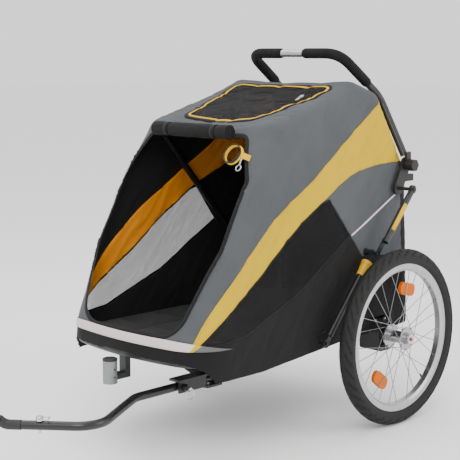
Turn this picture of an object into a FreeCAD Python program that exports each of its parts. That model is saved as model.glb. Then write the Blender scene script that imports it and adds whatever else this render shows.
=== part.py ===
import FreeCAD, Part
import math
import os

os.makedirs("parts", exist_ok=True)
V = FreeCAD.Vector

# Millimetres. X runs to the trailer's left, Y to its rear and Z up from the floor.
# While modelling, the axle lies at Y = 0; at the end all is moved so that the box is centred.

# Wheels, a 47-406 tyre on a 20 inch rim
TYRE_RADIUS = 250.0
TYRE_WIDTH = 47.0
CARCASS = 4.0
RIM_RADIUS = 209.5
RIM_WIDTH = 27.0
RIM_WALL = 1.5
RIM_SEAT = 203.5
RIM_INNER = 189.5
SPOKES = 28
CROSSINGS = 2
SPOKE_RADIUS = 1.0
HUB_BARREL = 17.0
FLANGE_RADIUS = 33.0
FLANGE_THICK = 3.0
FLANGE_AT = 26.0
HUB_OUTER = 36.0
HUB_INNER = 42.0
BEARING_RADIUS = 14.0
BEARING_WIDTH = 8.0
AXLE_RADIUS = 6.0
BRAKE_RING_RADIUS = 40.0
RING_THICK = 6.0
NOTCHES = 12
NOTCH_DEPTH = 10.0
REFLECTOR_LENGTH = 66.0
REFLECTOR_HEIGHT = 36.0
REFLECTOR_THICK = 10.0
REFLECTOR_AT = 137.0
REFLECTOR_ANGLES = (76.0, 232.0)
VALVE_RADIUS = 3.0
BUTTON_RADIUS = 5.0
BUTTON_TRAVEL = 3.5

# Cabin shape
HALF_WIDTH = 280.0
TOP_HALF_WIDTH = 240.0
SKIRT_BOTTOM = 226.0
SKIRT_TOP = 312.0
LIP_HEIGHT = 335.0
ROOF_REAR_HEIGHT = 966.0
VISOR_DROP = 116.0
KNEE_DROP = 266.0
REAR_DROP = 40.0
NOSE_BOTTOM = -738.0
NOSE_TOP = -724.0
LIP_FRONT = -718.0
LIP_STEP = 6.0
FRONT_CROWN = 27.0
VISOR_FRONT = -428.0
REAR_BOTTOM = 174.0
REAR_KNEE = 184.0
REAR_TOP = 66.0
ROOF_REAR = -52.0
NOSE_CORNER = 120.0
VISOR_CORNER = 60.0
REAR_CORNER = 55.0
NOSE_BOW = 900.0
VISOR_BOW = 2400.0
SHOULDER = 38.0
SKIN = 2.5
TRACK_GAP = 75.0
TRACK_HALF = HALF_WIDTH + TRACK_GAP
VISOR_HEIGHT = ROOF_REAR_HEIGHT - VISOR_DROP
KNEE_HEIGHT = ROOF_REAR_HEIGHT - KNEE_DROP
REAR_TOP_HEIGHT = ROOF_REAR_HEIGHT - REAR_DROP

# Tubes
RAIL_RADIUS = 12.5
HOOP_RADIUS = 9.5
BRACE_RADIUS = 9.0
HANDLE_RADIUS = 11.0
GRIP_RADIUS = 15.0
ARM_RADIUS = 11.0
RAIL_HEIGHT = 272.0
RAIL_GAP = 22.0
RAIL_CORNER = 40.0
HOOP_FOOT_X = HALF_WIDTH - 49.0
HOOP_INSET = 27.0

# Folding frame, side view (Y, Z)
HOOP_PIVOT = (REAR_BOTTOM - 16.0, 300.0)
BRACE_FOOT = (-244.0, 262.0)
BRACE_HEAD = (REAR_KNEE - 80.0, KNEE_HEIGHT - 43.0)
BREAK_SHARE = 0.572
FOLD_DEGREES = 66.0
HANDLE_PIVOT = (REAR_KNEE - 46.0, KNEE_HEIGHT + 22.0)
LOWER_BRACE_X = HALF_WIDTH + 11.0
UPPER_BRACE_X = HALF_WIDTH + 37.0
HANDLE_X = HALF_WIDTH - 4.0
SLEEVE_RADIUS = 15.5
SLEEVE_LENGTH = 46.0
SLEEVE_START = 32.0
SLEEVE_TRAVEL = 60.0
HANDLE_BAR_HALF = 171.0
HANDLE_BAR = (ROOF_REAR - 2.0, ROOF_REAR_HEIGHT + 75.0)
HANDLE_SHOULDER = (TOP_HALF_WIDTH - 60.0, REAR_TOP + 55.0, REAR_TOP_HEIGHT - 8.0)
GRIP_LEG = 150.0
ALU_HALF = 40.0

# Tow arm and hitch
ARM_HEIGHT = 185.0
ARM_PIVOT = (115.0, -520.0)
ARM_BEND_ONE = (115.0, -776.0)
ARM_BEND_TWO = (238.0, -993.0)
ARM_END = (97.0, -1108.0)
HITCH_BORE = 5.1
EYE_RADIUS = 15.0
HITCH_EYE = (60.0, -1192.0, 226.0)

# Front wheel socket
SOCKET_AT = -759.0
SOCKET_RADIUS = 19.0
SOCKET_BORE = 14.3
SOCKET_BOTTOM = 198.0
SOCKET_LENGTH = 60.0

# Clearances
RUNNING = 0.05
SEAT = 0.02
GAP = 0.3

AXLE_AT = V(0, 0, TYRE_RADIUS)
parts = {}


def keep(name, *solids):
    """File solids under a node name."""
    found = []
    for solid in solids:
        found.extend(solid.Solids)
    parts.setdefault(name, []).extend(found)


def largest(shape):
    """The biggest solid, without slivers left by the cuts."""
    return max(shape.Solids, key=lambda s: s.Volume)


def mirrored(shape):
    """The same piece on the other side of the trailer."""
    return shape.mirror(V(0, 0, 0), V(1, 0, 0))


def box(x0, x1, y0, y1, z0, z1):
    return Part.makeBox(x1 - x0, y1 - y0, z1 - z0, V(x0, y0, z0))


def rod(a, b, radius):
    """A round bar from a to b."""
    return Part.makeCylinder(radius, (b - a).Length, a, b - a)


def across(x0, x1, y, z, radius):
    """A round bar along X."""
    return Part.makeCylinder(radius, x1 - x0, V(x0, y, z), V(1, 0, 0))


def turned(points):
    """Revolve an outline of (x, radius) pairs about the X axis."""
    corners = [V(x, 0, r) for x, r in points]
    face = Part.Face(Part.makePolygon(corners + corners[:1]))
    return face.revolve(V(0, 0, 0), V(1, 0, 0), 360)


def bent_path(points, bend):
    """Straight runs joined by tangent arcs."""
    edges = []
    start = points[0]
    for before, corner, after in zip(points, points[1:], points[2:]):
        into = (corner - before).normalize()
        out = (after - corner).normalize()
        turn = into.getAngle(out)
        cut = bend * math.tan(turn / 2)
        a = corner - into * cut
        b = corner + out * cut
        inward = (out - into).normalize()
        middle = corner + inward * (bend / math.cos(turn / 2) - bend)
        edges.append(Part.makeLine(start, a))
        edges.append(Part.Arc(a, middle, b).toShape())
        start = b
    edges.append(Part.makeLine(start, points[-1]))
    return Part.Wire(edges)


def swept(path, start, direction, radius):
    """A round tube along a path."""
    ring = Part.Wire(Part.makeCircle(radius, start, direction))
    return path.makePipeShell([ring], True, False)


def bent_tube(points, bend, radius):
    return swept(bent_path(points, bend), points[0], points[1] - points[0], radius)


def prism(points, x0, x1):
    """A side view outline of (y, z) pairs, carried along X."""
    corners = [V(x0, y, z) for y, z in points]
    return Part.Face(Part.makePolygon(corners + corners[:1])).extrude(V(x1 - x0, 0, 0))


def between(a, b, share):
    return a + (b - a) * share


# Cabin outline at a height
def front_at(z):
    if z <= SKIRT_TOP:
        return between(NOSE_BOTTOM, NOSE_TOP, (z - SKIRT_BOTTOM) / (SKIRT_TOP - SKIRT_BOTTOM))
    if z <= LIP_HEIGHT:
        return between(NOSE_TOP, LIP_FRONT, (z - SKIRT_TOP) / (LIP_HEIGHT - SKIRT_TOP))
    if z <= CROWN_LOW:
        return between(LIP_FRONT, crowned(CROWN_LOW), (z - LIP_HEIGHT) / (CROWN_LOW - LIP_HEIGHT))
    if z <= CROWN_HIGH:
        return crowned(z)
    return between(crowned(CROWN_HIGH), VISOR_FRONT, (z - CROWN_HIGH) / (VISOR_HEIGHT - CROWN_HIGH))


def plane_at(z):
    """The flat plane that holds the front opening's edge."""
    return between(LIP_FRONT + LIP_STEP, VISOR_FRONT, (z - LIP_HEIGHT) / (VISOR_HEIGHT - LIP_HEIGHT))


def crowned(z):
    """The cloth stands out from the plane between lip and visor."""
    return plane_at(z) - FRONT_CROWN


CROWN_LOW = between(LIP_HEIGHT, VISOR_HEIGHT, 0.36)
CROWN_HIGH = between(LIP_HEIGHT, VISOR_HEIGHT, 0.68)


def rear_at(z):
    if z <= KNEE_HEIGHT:
        return between(REAR_BOTTOM, REAR_KNEE, (z - SKIRT_BOTTOM) / (KNEE_HEIGHT - SKIRT_BOTTOM))
    return between(REAR_KNEE, REAR_TOP, (z - KNEE_HEIGHT) / (REAR_TOP_HEIGHT - KNEE_HEIGHT))


def half_at(z):
    if z <= SKIRT_TOP:
        return HALF_WIDTH
    share = (z - SKIRT_TOP) / (ROOF_REAR_HEIGHT - SKIRT_TOP)
    return between(HALF_WIDTH, TOP_HALF_WIDTH, share)


def corner_at(z):
    if z <= SKIRT_TOP:
        return NOSE_CORNER
    share = min(1.0, (z - SKIRT_TOP) / (VISOR_HEIGHT - SKIRT_TOP))
    return between(NOSE_CORNER, VISOR_CORNER, share)


def bow_at(z):
    if z <= LIP_HEIGHT:
        return NOSE_BOW
    share = min(1.0, (z - LIP_HEIGHT) / (VISOR_HEIGHT - LIP_HEIGHT))
    return between(NOSE_BOW, VISOR_BOW, share)


def roof_at(y):
    share = (y - VISOR_FRONT) / (ROOF_REAR - VISOR_FRONT)
    return between(VISOR_HEIGHT, ROOF_REAR_HEIGHT, share)


def outline(front, rear, half, nose, tail, z, bow=NOSE_BOW):
    """A plan outline with a bowed nose, round corners and a straight rear."""
    reach = bow - nose
    centre_x = half - nose
    centre_y = front + bow - math.sqrt(reach ** 2 - centre_x ** 2)
    lean = V(centre_x, centre_y - front - bow, 0) * (1 / reach)
    joint = V(centre_x, centre_y, z) + lean * nose
    halfway = (lean + V(1, 0, 0)).normalize()
    corner = V(centre_x, centre_y, z) + halfway * nose
    side_front = V(half, centre_y, z)
    side_rear = V(half, rear - tail, z)
    slant = tail * math.sqrt(0.5)
    tail_middle = V(half - tail + slant, rear - tail + slant, z)
    tail_end = V(half - tail, rear, z)

    def other(p):
        return V(-p.x, p.y, p.z)

    return Part.Wire([
        Part.Arc(other(joint), V(0, front, z), joint).toShape(),
        Part.Arc(joint, corner, side_front).toShape(),
        Part.makeLine(side_front, side_rear),
        Part.Arc(side_rear, tail_middle, tail_end).toShape(),
        Part.makeLine(tail_end, other(tail_end)),
        Part.Arc(other(tail_end), other(tail_middle), other(side_rear)).toShape(),
        Part.makeLine(other(side_rear), other(side_front)),
        Part.Arc(other(side_front), other(corner), other(joint)).toShape(),
    ])


def cabin(inset):
    """The cabin as a solid, drawn in by an amount on every side."""
    levels = sorted([SKIRT_BOTTOM, SKIRT_TOP, LIP_HEIGHT, CROWN_LOW, CROWN_HIGH, KNEE_HEIGHT,
                     ROOF_REAR_HEIGHT + 20])
    wires = []
    for z in levels:
        wires.append(outline(
            front_at(z) + inset * 1.15, rear_at(z) - inset * 1.15, half_at(z) - inset,
            corner_at(z) - inset, REAR_CORNER - inset, z, bow_at(z) - inset,
        ))
    body = Part.makeLoft(wires, True, True)
    drop = inset * 1.05
    above = prism([
        (VISOR_FRONT - 400, roof_at(VISOR_FRONT - 400) - drop),
        (ROOF_REAR, ROOF_REAR_HEIGHT - drop),
        (between(ROOF_REAR, REAR_TOP, 3), between(ROOF_REAR_HEIGHT, REAR_TOP_HEIGHT, 3) - drop),
        (between(ROOF_REAR, REAR_TOP, 3), 2000),
        (VISOR_FRONT - 400, 2000),
    ], -500, 500)
    body = body.cut(above)
    roof_faces = sorted(body.Faces, key=lambda f: f.CenterOfMass.z)[-2:]
    edges = {e.hashCode(): e for face in roof_faces for e in face.OuterWire.Edges}
    return body.makeFillet(SHOULDER - inset, list(edges.values()))


def side_region(points, x0=200.0, x1=400.0):
    """The part of the left cover inside a side view outline."""
    return skin.common(prism(points, x0, x1))


def spline(points):
    curve = Part.BSplineCurve()
    curve.interpolate([V(0, y, z) for y, z in points])
    return curve.toShape()


# Wheel, built with its outer side towards +X
def build_wheel():
    made = {}
    core = TYRE_RADIUS - TYRE_WIDTH / 2
    bead = RIM_WIDTH / 2 - RIM_WALL - GAP
    hollow = TYRE_WIDTH / 2 - CARCASS

    def disc(radius):
        return Part.Face(Part.Wire(Part.makeCircle(radius, V(0, 0, core), V(0, 1, 0))))

    def sheet(x0, x1, r0, r1):
        corners = [V(x0, 0, r0), V(x1, 0, r0), V(x1, 0, r1), V(x0, 0, r1)]
        return Part.Face(Part.makePolygon(corners + corners[:1]))

    section = disc(TYRE_WIDTH / 2).cut(disc(hollow))
    section = section.cut(sheet(-40, 40, 150, RIM_SEAT + GAP))
    section = section.cut(sheet(-bead + 4, bead - 4, 150, RIM_SEAT + 8))
    section = section.cut(sheet(bead, 40, 150, RIM_RADIUS + GAP))
    section = section.cut(sheet(-40, -bead, 150, RIM_RADIUS + GAP))
    made["tyre"] = [section.revolve(V(0, 0, 0), V(1, 0, 0), 360)]

    tube = disc(hollow - GAP).revolve(V(0, 0, 0), V(1, 0, 0), 360)
    valve_angle = math.radians(310)
    out = V(0, math.cos(valve_angle), math.sin(valve_angle))
    stem = rod(out * (RIM_INNER - 20), out * (core - hollow + 3), VALVE_RADIUS)
    made["inner_tube"] = [tube.fuse(stem)]

    half = RIM_WIDTH / 2
    inside = half - RIM_WALL
    rim = turned([
        (-half, RIM_RADIUS), (-inside, RIM_RADIUS), (-inside, RIM_SEAT), (inside, RIM_SEAT),
        (inside, RIM_RADIUS), (half, RIM_RADIUS), (half, RIM_INNER + 6),
        (half - 5, RIM_INNER), (5 - half, RIM_INNER), (-half, RIM_INNER + 6),
    ])
    hole = rod(out * (RIM_INNER - 5), out * (RIM_SEAT + 5), VALVE_RADIUS + GAP)
    made["rim"] = [rim.cut(hole)]

    hub = across(-HUB_INNER, HUB_OUTER, 0, 0, HUB_BARREL)
    for start in (FLANGE_AT, -FLANGE_AT - FLANGE_THICK):
        hub = hub.fuse(across(start, start + FLANGE_THICK, 0, 0, FLANGE_RADIUS))
    hub = hub.cut(across(-HUB_INNER, HUB_OUTER, 0, 0, AXLE_RADIUS + 3))
    bearings = []
    for start in (-HUB_INNER, HUB_OUTER - BEARING_WIDTH):
        end = start + BEARING_WIDTH
        hub = hub.cut(across(start, end, 0, 0, BEARING_RADIUS))
        race = across(start, end, 0, 0, BEARING_RADIUS - SEAT)
        bearings.append(race.cut(across(start, end, 0, 0, AXLE_RADIUS + RUNNING)))
    made["hub"] = [hub]
    made["bearings"] = bearings

    spokes = []
    per_flange = SPOKES // 2
    step = 360.0 / per_flange
    for flange in (1, -1):
        for i in range(per_flange):
            leading = i % 2 == 0
            start = i * step + (0 if flange > 0 else step / 2)
            finish = start + (CROSSINGS * step if leading else -CROSSINGS * step)
            x0 = FLANGE_AT + FLANGE_THICK + 2.0 if leading else FLANGE_AT - 1.5
            a = polar(flange * x0, FLANGE_RADIUS - 4, start)
            b = polar(flange * 2.0, RIM_INNER - GAP, finish)
            spokes.append(rod(a, b, SPOKE_RADIUS))
    made["spokes"] = spokes

    ring_end = -HUB_INNER + 2
    ring = across(ring_end, ring_end + RING_THICK, 0, 0, BRAKE_RING_RADIUS)
    ring = ring.cut(across(ring_end, ring_end + RING_THICK, 0, 0, HUB_BARREL + SEAT))
    for i in range(NOTCHES):
        notch = box(ring_end, ring_end + RING_THICK, -BOLT_RADIUS - 0.6, BOLT_RADIUS + 0.6,
                    -BRAKE_RING_RADIUS - 2, NOTCH_DEPTH - BRAKE_RING_RADIUS)
        notch.rotate(V(0, 0, 0), V(1, 0, 0), i * 360.0 / NOTCHES)
        ring = ring.cut(notch)
    made["brake_ring"] = [ring]

    reflectors = []
    for angle in REFLECTOR_ANGLES:
        plate = box(-REFLECTOR_THICK / 2, REFLECTOR_THICK / 2,
                    -REFLECTOR_LENGTH / 2, REFLECTOR_LENGTH / 2,
                    REFLECTOR_AT - REFLECTOR_HEIGHT / 2, REFLECTOR_AT + REFLECTOR_HEIGHT / 2)
        corners = [e for e in plate.Edges if abs(e.tangentAt(0).x) > 0.9]
        plate = plate.makeFillet(REFLECTOR_HEIGHT * 0.42, corners)
        plate.rotate(V(0, 0, 0), V(1, 0, 0), angle - 90)
        reflectors.append(plate)
    made["reflectors"] = reflectors
    return made


def polar(x, radius, degrees):
    angle = math.radians(degrees)
    return V(x, radius * math.cos(angle), radius * math.sin(angle))


# Parking brake
BOLT_RADIUS = 5.0
BOLT_AT = BRAKE_RING_RADIUS - NOTCH_DEPTH / 2
BOLT_TRAVEL = 7.5
BOLT_LENGTH = 44.0

wheel = build_wheel()
for name, solids in wheel.items():
    for solid in solids:
        left = solid.copy()
        left.translate(V(TRACK_HALF, 0, TYRE_RADIUS))
        keep("left_" + name, left)
        keep("right_" + name, mirrored(left))

# Base frame: a rounded loop of tube, with cross tubes and the axle beam welded in
rail_half = HALF_WIDTH - RAIL_GAP
rail_front = front_at(RAIL_HEIGHT) + RAIL_GAP
rail_rear = rear_at(RAIL_HEIGHT) - RAIL_GAP + 4
loop = outline(rail_front, rail_rear, rail_half, NOSE_CORNER - RAIL_GAP, RAIL_CORNER, RAIL_HEIGHT)
nose_arc = loop.Edges[0]
frame_tube = swept(loop, nose_arc.valueAt(nose_arc.FirstParameter),
                   nose_arc.tangentAt(nose_arc.FirstParameter), RAIL_RADIUS)
cross_at = (ARM_PIVOT[1], BRACE_FOOT[0])
base_frame = frame_tube
for y in cross_at:
    base_frame = base_frame.fuse(across(-rail_half, rail_half, y, RAIL_HEIGHT, RAIL_RADIUS - 2))
beam = box(-rail_half, rail_half, -15, 15, RAIL_HEIGHT - 34, RAIL_HEIGHT - 4)
base_frame = base_frame.fuse(beam)
bracket_low = SOCKET_BOTTOM + 8
tongue = box(-13, 13, SOCKET_AT + SOCKET_RADIUS - 4, rail_front + 8, bracket_low, bracket_low + 14)
riser = box(-13, 13, rail_front - 8, rail_front + 8, bracket_low, RAIL_HEIGHT)
socket_space = Part.makeCylinder(SOCKET_RADIUS + SEAT, 300, V(0, SOCKET_AT, 100))
base_frame = base_frame.fuse(tongue.fuse(riser).cut(socket_space))

# Axle housings carry the wheel axles and the brake bolts
housing_end = TRACK_HALF - HUB_INNER - 2
housing_in = rail_half - 18
housing = box(housing_in, housing_end, -30, 30, TYRE_RADIUS - 46, RAIL_HEIGHT + 17)
edges = [e for e in housing.Edges if abs(e.tangentAt(0).x) > 0.9]
housing = housing.makeFillet(9, edges)
housing = housing.cut(across(housing_in + 38, housing_end, 0, TYRE_RADIUS, AXLE_RADIUS + SEAT))
bolt_z = TYRE_RADIUS - BOLT_AT
housing = housing.cut(across(housing_in + 15, housing_end, 0, bolt_z, BOLT_RADIUS + GAP))
rail_hole = rod(V(rail_half, -40, RAIL_HEIGHT), V(rail_half, 40, RAIL_HEIGHT), RAIL_RADIUS + SEAT)
beam_hole = box(0, rail_half, -15 - SEAT, 15 + SEAT, RAIL_HEIGHT - 34 - SEAT, RAIL_HEIGHT - 4 + SEAT)
housing = housing.cut(rail_hole).cut(beam_hole)
keep("axle_housings", housing, mirrored(housing))

axle_in = housing_in + 38
head_at = TRACK_HALF + HUB_OUTER + 1
pin = across(axle_in, head_at, 0, TYRE_RADIUS, AXLE_RADIUS)
head = across(head_at, head_at + 6, 0, TYRE_RADIUS, AXLE_RADIUS + 8)
axle = pin.fuse(head)
axle = axle.cut(across(head_at - 2, head_at + 6, 0, TYRE_RADIUS, BUTTON_RADIUS + GAP))
keep("axle_pins", axle, mirrored(axle))
button = across(head_at + 2, head_at + 10, 0, TYRE_RADIUS, BUTTON_RADIUS)
button = button.makeFillet(1.5, [max(button.Edges, key=lambda e: e.BoundBox.XMin)])
keep("left_release_button", button)
keep("right_release_button", mirrored(button))

ring_face = TRACK_HALF - HUB_INNER + 2
bolt_tip = ring_face - 1.5
bolt = across(bolt_tip - BOLT_LENGTH, bolt_tip, 0, bolt_z, BOLT_RADIUS)
keep("left_brake_bolt", bolt)
keep("right_brake_bolt", mirrored(bolt))

# Brake pedal on two ears under the rear rail
PEDAL_AXIS = (rail_rear, RAIL_HEIGHT - 34.0)
for side in (-1, 1):
    ear = box(side * 30 - 3, side * 30 + 3, PEDAL_AXIS[0] - 9, PEDAL_AXIS[0] + 9,
              PEDAL_AXIS[1] - 9, RAIL_HEIGHT)
    base_frame = base_frame.fuse(ear)
base_frame = base_frame.cut(across(-40, 40, PEDAL_AXIS[0], PEDAL_AXIS[1], 4 + RUNNING))
shaft = across(-36, 36, PEDAL_AXIS[0], PEDAL_AXIS[1], 4)
lever = box(-24, 24, PEDAL_AXIS[0] - 6, PEDAL_AXIS[0] + 52, PEDAL_AXIS[1] - 4, PEDAL_AXIS[1] + 4)
pad = box(-34, 34, PEDAL_AXIS[0] + 30, PEDAL_AXIS[0] + 60, PEDAL_AXIS[1] - 5, PEDAL_AXIS[1] + 5)
pad = pad.makeFillet(3, pad.Edges)
keep("brake_pedal", shaft.fuse(lever).fuse(pad).removeSplitter())
keep("base_frame", base_frame.removeSplitter())

# Floor board and quilted mat
board_z = RAIL_HEIGHT + RAIL_RADIUS + GAP
board_wire = outline(rail_front, rail_rear, rail_half, NOSE_CORNER - RAIL_GAP, RAIL_CORNER, board_z)
board = Part.Face(board_wire).extrude(V(0, 0, 5))
foot_x = HOOP_FOOT_X
for side in (-1, 1):
    notch_x = side * foot_x
    board = board.cut(box(notch_x - 22, notch_x + 22, HOOP_PIVOT[0] - 30, 300, 0, 500))
    housing_x = side * (housing_in + 20)
    board = board.cut(box(housing_x - 24, housing_x + 24, -32, 32, 0, 500))
keep("floor_board", board)

mat_z = board_z + 5 + GAP
mat_rear = rail_rear - 40
mat_levels = ((0.0, 14.0), (8.0, 9.0), (15.0, 16.0))
mat_wires = []
for rise, inset in mat_levels:
    mat_wires.append(outline(rail_front + 18 + inset, mat_rear - inset, rail_half - 36 - inset,
                             70.0, 40.0, mat_z + rise))
mat = Part.makeLoft(mat_wires, True, True)
for i in range(5):
    channel_y = between(rail_front, mat_rear, (i + 1) / 6)
    mat = mat.cut(across(-300, 300, channel_y, mat_z + 19, 7))
keep("floor_mat", mat)

# Cover: one thin shell, divided along its seams
outer = cabin(0.0)
skin = outer.cut(cabin(SKIN).fuse(box(-200, 200, -500, 100, SKIRT_BOTTOM - 1, SKIRT_BOTTOM + 5)))
below = cabin(SKIN).cut(box(-900, 900, -900, 900, SKIRT_BOTTOM + 1, 2000))
below.translate(V(0, 0, -1))
skin = skin.cut(below)



def seam(*shares):
    """Points of the side view, from shares of the cabin's length and height."""
    points = []
    for along, rise in shares:
        points.append((between(LIP_FRONT, REAR_KNEE, along), between(SKIRT_TOP, ROOF_REAR_HEIGHT, rise)))
    return points


STRIPE_TOP = seam((0.034, 0.0), (0.119, 0.184), (0.221, 0.325), (0.346, 0.466), (0.430, 0.534),
                  (0.634, 0.710), (0.843, 0.900), (0.90, 0.95))
STRIPE_LOW = seam((0.043, 0.0), (0.145, 0.128), (0.252, 0.228), (0.438, 0.418), (0.570, 0.521),
                  (0.707, 0.607), (0.788, 0.630), (0.936, 0.642), (1.02, 0.642))
STRIPE_REAR = seam((1.05, 0.642), (1.05, 0.95))
top_edge = spline(STRIPE_TOP)
low_edge = spline(STRIPE_LOW)


def closing(*corners):
    points = [V(0, y, z) for y, z in corners]
    return [Part.makeLine(p, q) for p, q in zip(points, points[1:])]


stripe_wire = Part.Wire(
    [low_edge] + closing(STRIPE_LOW[-1], *STRIPE_REAR, STRIPE_TOP[-1])
    + [top_edge] + closing(STRIPE_TOP[0], STRIPE_LOW[0])
)
stripe_prism = Part.Face(stripe_wire).extrude(V(400, 0, 0))
stripe_prism = stripe_prism.common(box(198, 400, -900, 300, 0, 2000))
stripe = skin.common(stripe_prism)

# The mesh window lies between the stripe and the black lower side
WINDOW_LOW = seam((0.05, 0.0), (0.20, 0.025), (0.43, 0.150), (0.676, 0.349))
WINDOW = WINDOW_LOW + seam((0.581, 0.515), (0.40, 0.47), (0.20, 0.25))
window_prism = prism(WINDOW, 200, 400).cut(stripe_prism)
window = skin.common(window_prism)

skirt_prism = prism([
    (-900, 0), (-900, SKIRT_TOP), (STRIPE_LOW[0][0], SKIRT_TOP), *WINDOW_LOW,
    *seam((0.729, 0.254), (1.239, 0.196)), (400, 0),
], -500, 500)
skirt = skin.common(skirt_prism)
# The hem rises towards the rear
skirt = skirt.cut(prism([(-480, 0), (-480, SKIRT_BOTTOM), (-140, 253), (400, 258), (400, 0)], -500, 500))

# Front opening, drawn on the sloping front plane
slope = V(0, plane_at(VISOR_HEIGHT) - plane_at(LIP_HEIGHT), VISOR_HEIGHT - LIP_HEIGHT).normalize()
facing = V(1, 0, 0).cross(slope)


def on_front(x, z):
    return V(x, plane_at(z), z)


def rounded_loop(points, bends):
    """A closed flat outline with a round at each corner."""
    edges = []
    count = len(points)
    ends = []
    for i, corner in enumerate(points):
        into = (corner - points[i - 1]).normalize()
        out = (points[(i + 1) % count] - corner).normalize()
        turn = into.getAngle(out)
        cut = bends[i] * math.tan(turn / 2)
        middle = corner + (out - into).normalize() * (bends[i] / math.cos(turn / 2) - bends[i])
        ends.append((corner - into * cut, middle, corner + out * cut))
    for i, (a, middle, b) in enumerate(ends):
        edges.append(Part.Arc(a, middle, b).toShape())
        edges.append(Part.makeLine(b, ends[(i + 1) % count][0]))
    return Part.Wire(edges)


# Left half of the opening, as shares of the half width and of the front plane's height
OPENING = [(0.636, 0.006), (0.818, 0.408), (0.814, 0.751), (0.629, 0.957)]
OPENING_ROUNDS = [75, 200, 60, 30]
left_side = [on_front(HALF_WIDTH * x, between(LIP_HEIGHT, VISOR_HEIGHT, rise)) for x, rise in OPENING]
right_side = [V(-p.x, p.y, p.z) for p in reversed(left_side)]
opening_wire = rounded_loop(left_side + right_side, OPENING_ROUNDS + OPENING_ROUNDS[::-1])
opening_prism = Part.Face(opening_wire).extrude(facing * 140)
opening_prism.translate(facing * -70)

# Skylight, as shares of the roof's half width and of its length from the visor
SKYLIGHT = [(-0.775, 0.888), (0.775, 0.888), (0.625, 0.367), (0.55, 0.186),
            (0.0, 0.138), (-0.55, 0.186), (-0.625, 0.367)]
sky_points = []
for x, along in SKYLIGHT:
    sky_y = between(VISOR_FRONT, ROOF_REAR, along)
    sky_points.append(V(TOP_HALF_WIDTH * x, sky_y, roof_at(sky_y)))
roof_up = V(0, VISOR_HEIGHT - ROOF_REAR_HEIGHT, ROOF_REAR - VISOR_FRONT).normalize()
sky_wire = rounded_loop(sky_points, [25, 25, 60, 30, 60, 30, 60])
sky_prism = Part.Face(sky_wire).extrude(roof_up * 40)
sky_prism.translate(roof_up * -20)
skylight = skin.common(sky_prism)
keep("skylight_mesh", skylight)

main = skin.cut(skirt_prism).cut(stripe_prism).cut(mirrored(stripe_prism))
main = main.cut(window_prism).cut(mirrored(window_prism)).cut(opening_prism).cut(sky_prism)

# Folding frame
hoop_y, hoop_z = HOOP_PIVOT
foot = V(0, *BRACE_FOOT)
brace_top = V(0, *BRACE_HEAD)
breaking = foot + (brace_top - foot) * BREAK_SHARE
down = (foot - breaking).normalize()
up = (brace_top - breaking).normalize()


def inside_x(z):
    return half_at(z) - SKIN - 1.5 - HOOP_RADIUS


def at_x(p, x):
    return V(x, p.y, p.z)


def eye(p, x0, x1, outer_radius):
    return across(x0, x1, p.y, p.z, outer_radius)


def flat_link(p, q, x0, x1, width):
    """A flat bar between two points of the side view."""
    along = (q - p).normalize()
    over = V(1, 0, 0).cross(along) * (width / 2)
    corners = [at_x(c, x0) for c in (p - over, p + over, q + over, q - over)]
    return Part.Face(Part.makePolygon(corners + corners[:1])).extrude(V(x1 - x0, 0, 0))


top_bar_z = ROOF_REAR_HEIGHT - 27
rear_points = [
    V(foot_x, hoop_y, hoop_z),
    V(half_at(KNEE_HEIGHT) - HOOP_INSET, REAR_KNEE - HOOP_INSET, KNEE_HEIGHT),
    V(half_at(top_bar_z) - 30, ROOF_REAR - 10, top_bar_z),
]
rear_points += [V(-p.x, p.y, p.z) for p in reversed(rear_points)]
rear_hoop = bent_tube(rear_points, 62.0, HOOP_RADIUS)
rear_cutter = bent_tube(rear_points, 62.0, HOOP_RADIUS + SEAT)
for side in (-1, 1):
    rear_hoop = rear_hoop.fuse(across(side * foot_x - HOOP_RADIUS, side * foot_x + HOOP_RADIUS,
                                      hoop_y, hoop_z, 11.0))
rear_hoop = rear_hoop.cut(across(-300, 300, hoop_y, hoop_z, 4 + RUNNING))
keep("rear_hoop", rear_hoop.removeSplitter())

# Feet that hold the rear hoop, and their pins
for side in (-1, 1):
    plates = None
    for cheek in (-1, 1):
        x = side * foot_x + cheek * (HOOP_RADIUS + GAP + 2)
        plate = box(x - 2, x + 2, hoop_y - 13, hoop_y + 8, RAIL_HEIGHT, hoop_z + 12)
        plates = plate if plates is None else plates.fuse(plate)
    plates = plates.cut(frame_tube).cut(across(-300, 300, hoop_y, hoop_z, 4 + SEAT))
    keep("hoop_feet", plates)
    keep("frame_pins", across(side * foot_x - 16, side * foot_x + 16, hoop_y, hoop_z, 4))

# Joint blocks on the rear hoop, with studs for the handle and the braces
handle_axis = V(0, *HANDLE_PIVOT)
block_in = HALF_WIDTH - 18
block_out = HANDLE_X - 6
block = across(block_in, block_out, handle_axis.y, handle_axis.z, 22)
block = block.fuse(across(block_in, block_out, brace_top.y, brace_top.z, 20))
block = block.fuse(flat_link(brace_top, handle_axis, block_in, block_out, 38))
neck_low = KNEE_HEIGHT - 26
neck_high = KNEE_HEIGHT - 6
neck_y = between(hoop_y, REAR_KNEE - HOOP_INSET, (neck_low + 14 - hoop_z) / (KNEE_HEIGHT - hoop_z))
block = block.fuse(box(foot_x - 16, block_out, neck_y - 30, neck_y + 16, neck_low, neck_high))
block = block.fuse(across(block_out - 5, HANDLE_X + 8, handle_axis.y, handle_axis.z, 5))
block = block.fuse(across(block_out - 5, UPPER_BRACE_X + 8, brace_top.y, brace_top.z, 5))
block = block.cut(rear_cutter).removeSplitter()
keep("joint_blocks", block, mirrored(block))

# Braces: the break lets the rear hoop fold forward
upper_start = at_x(breaking + up * 40, UPPER_BRACE_X)
upper_end = at_x(brace_top - up * 26, UPPER_BRACE_X)
upper = rod(upper_start, upper_end, BRACE_RADIUS)

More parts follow.
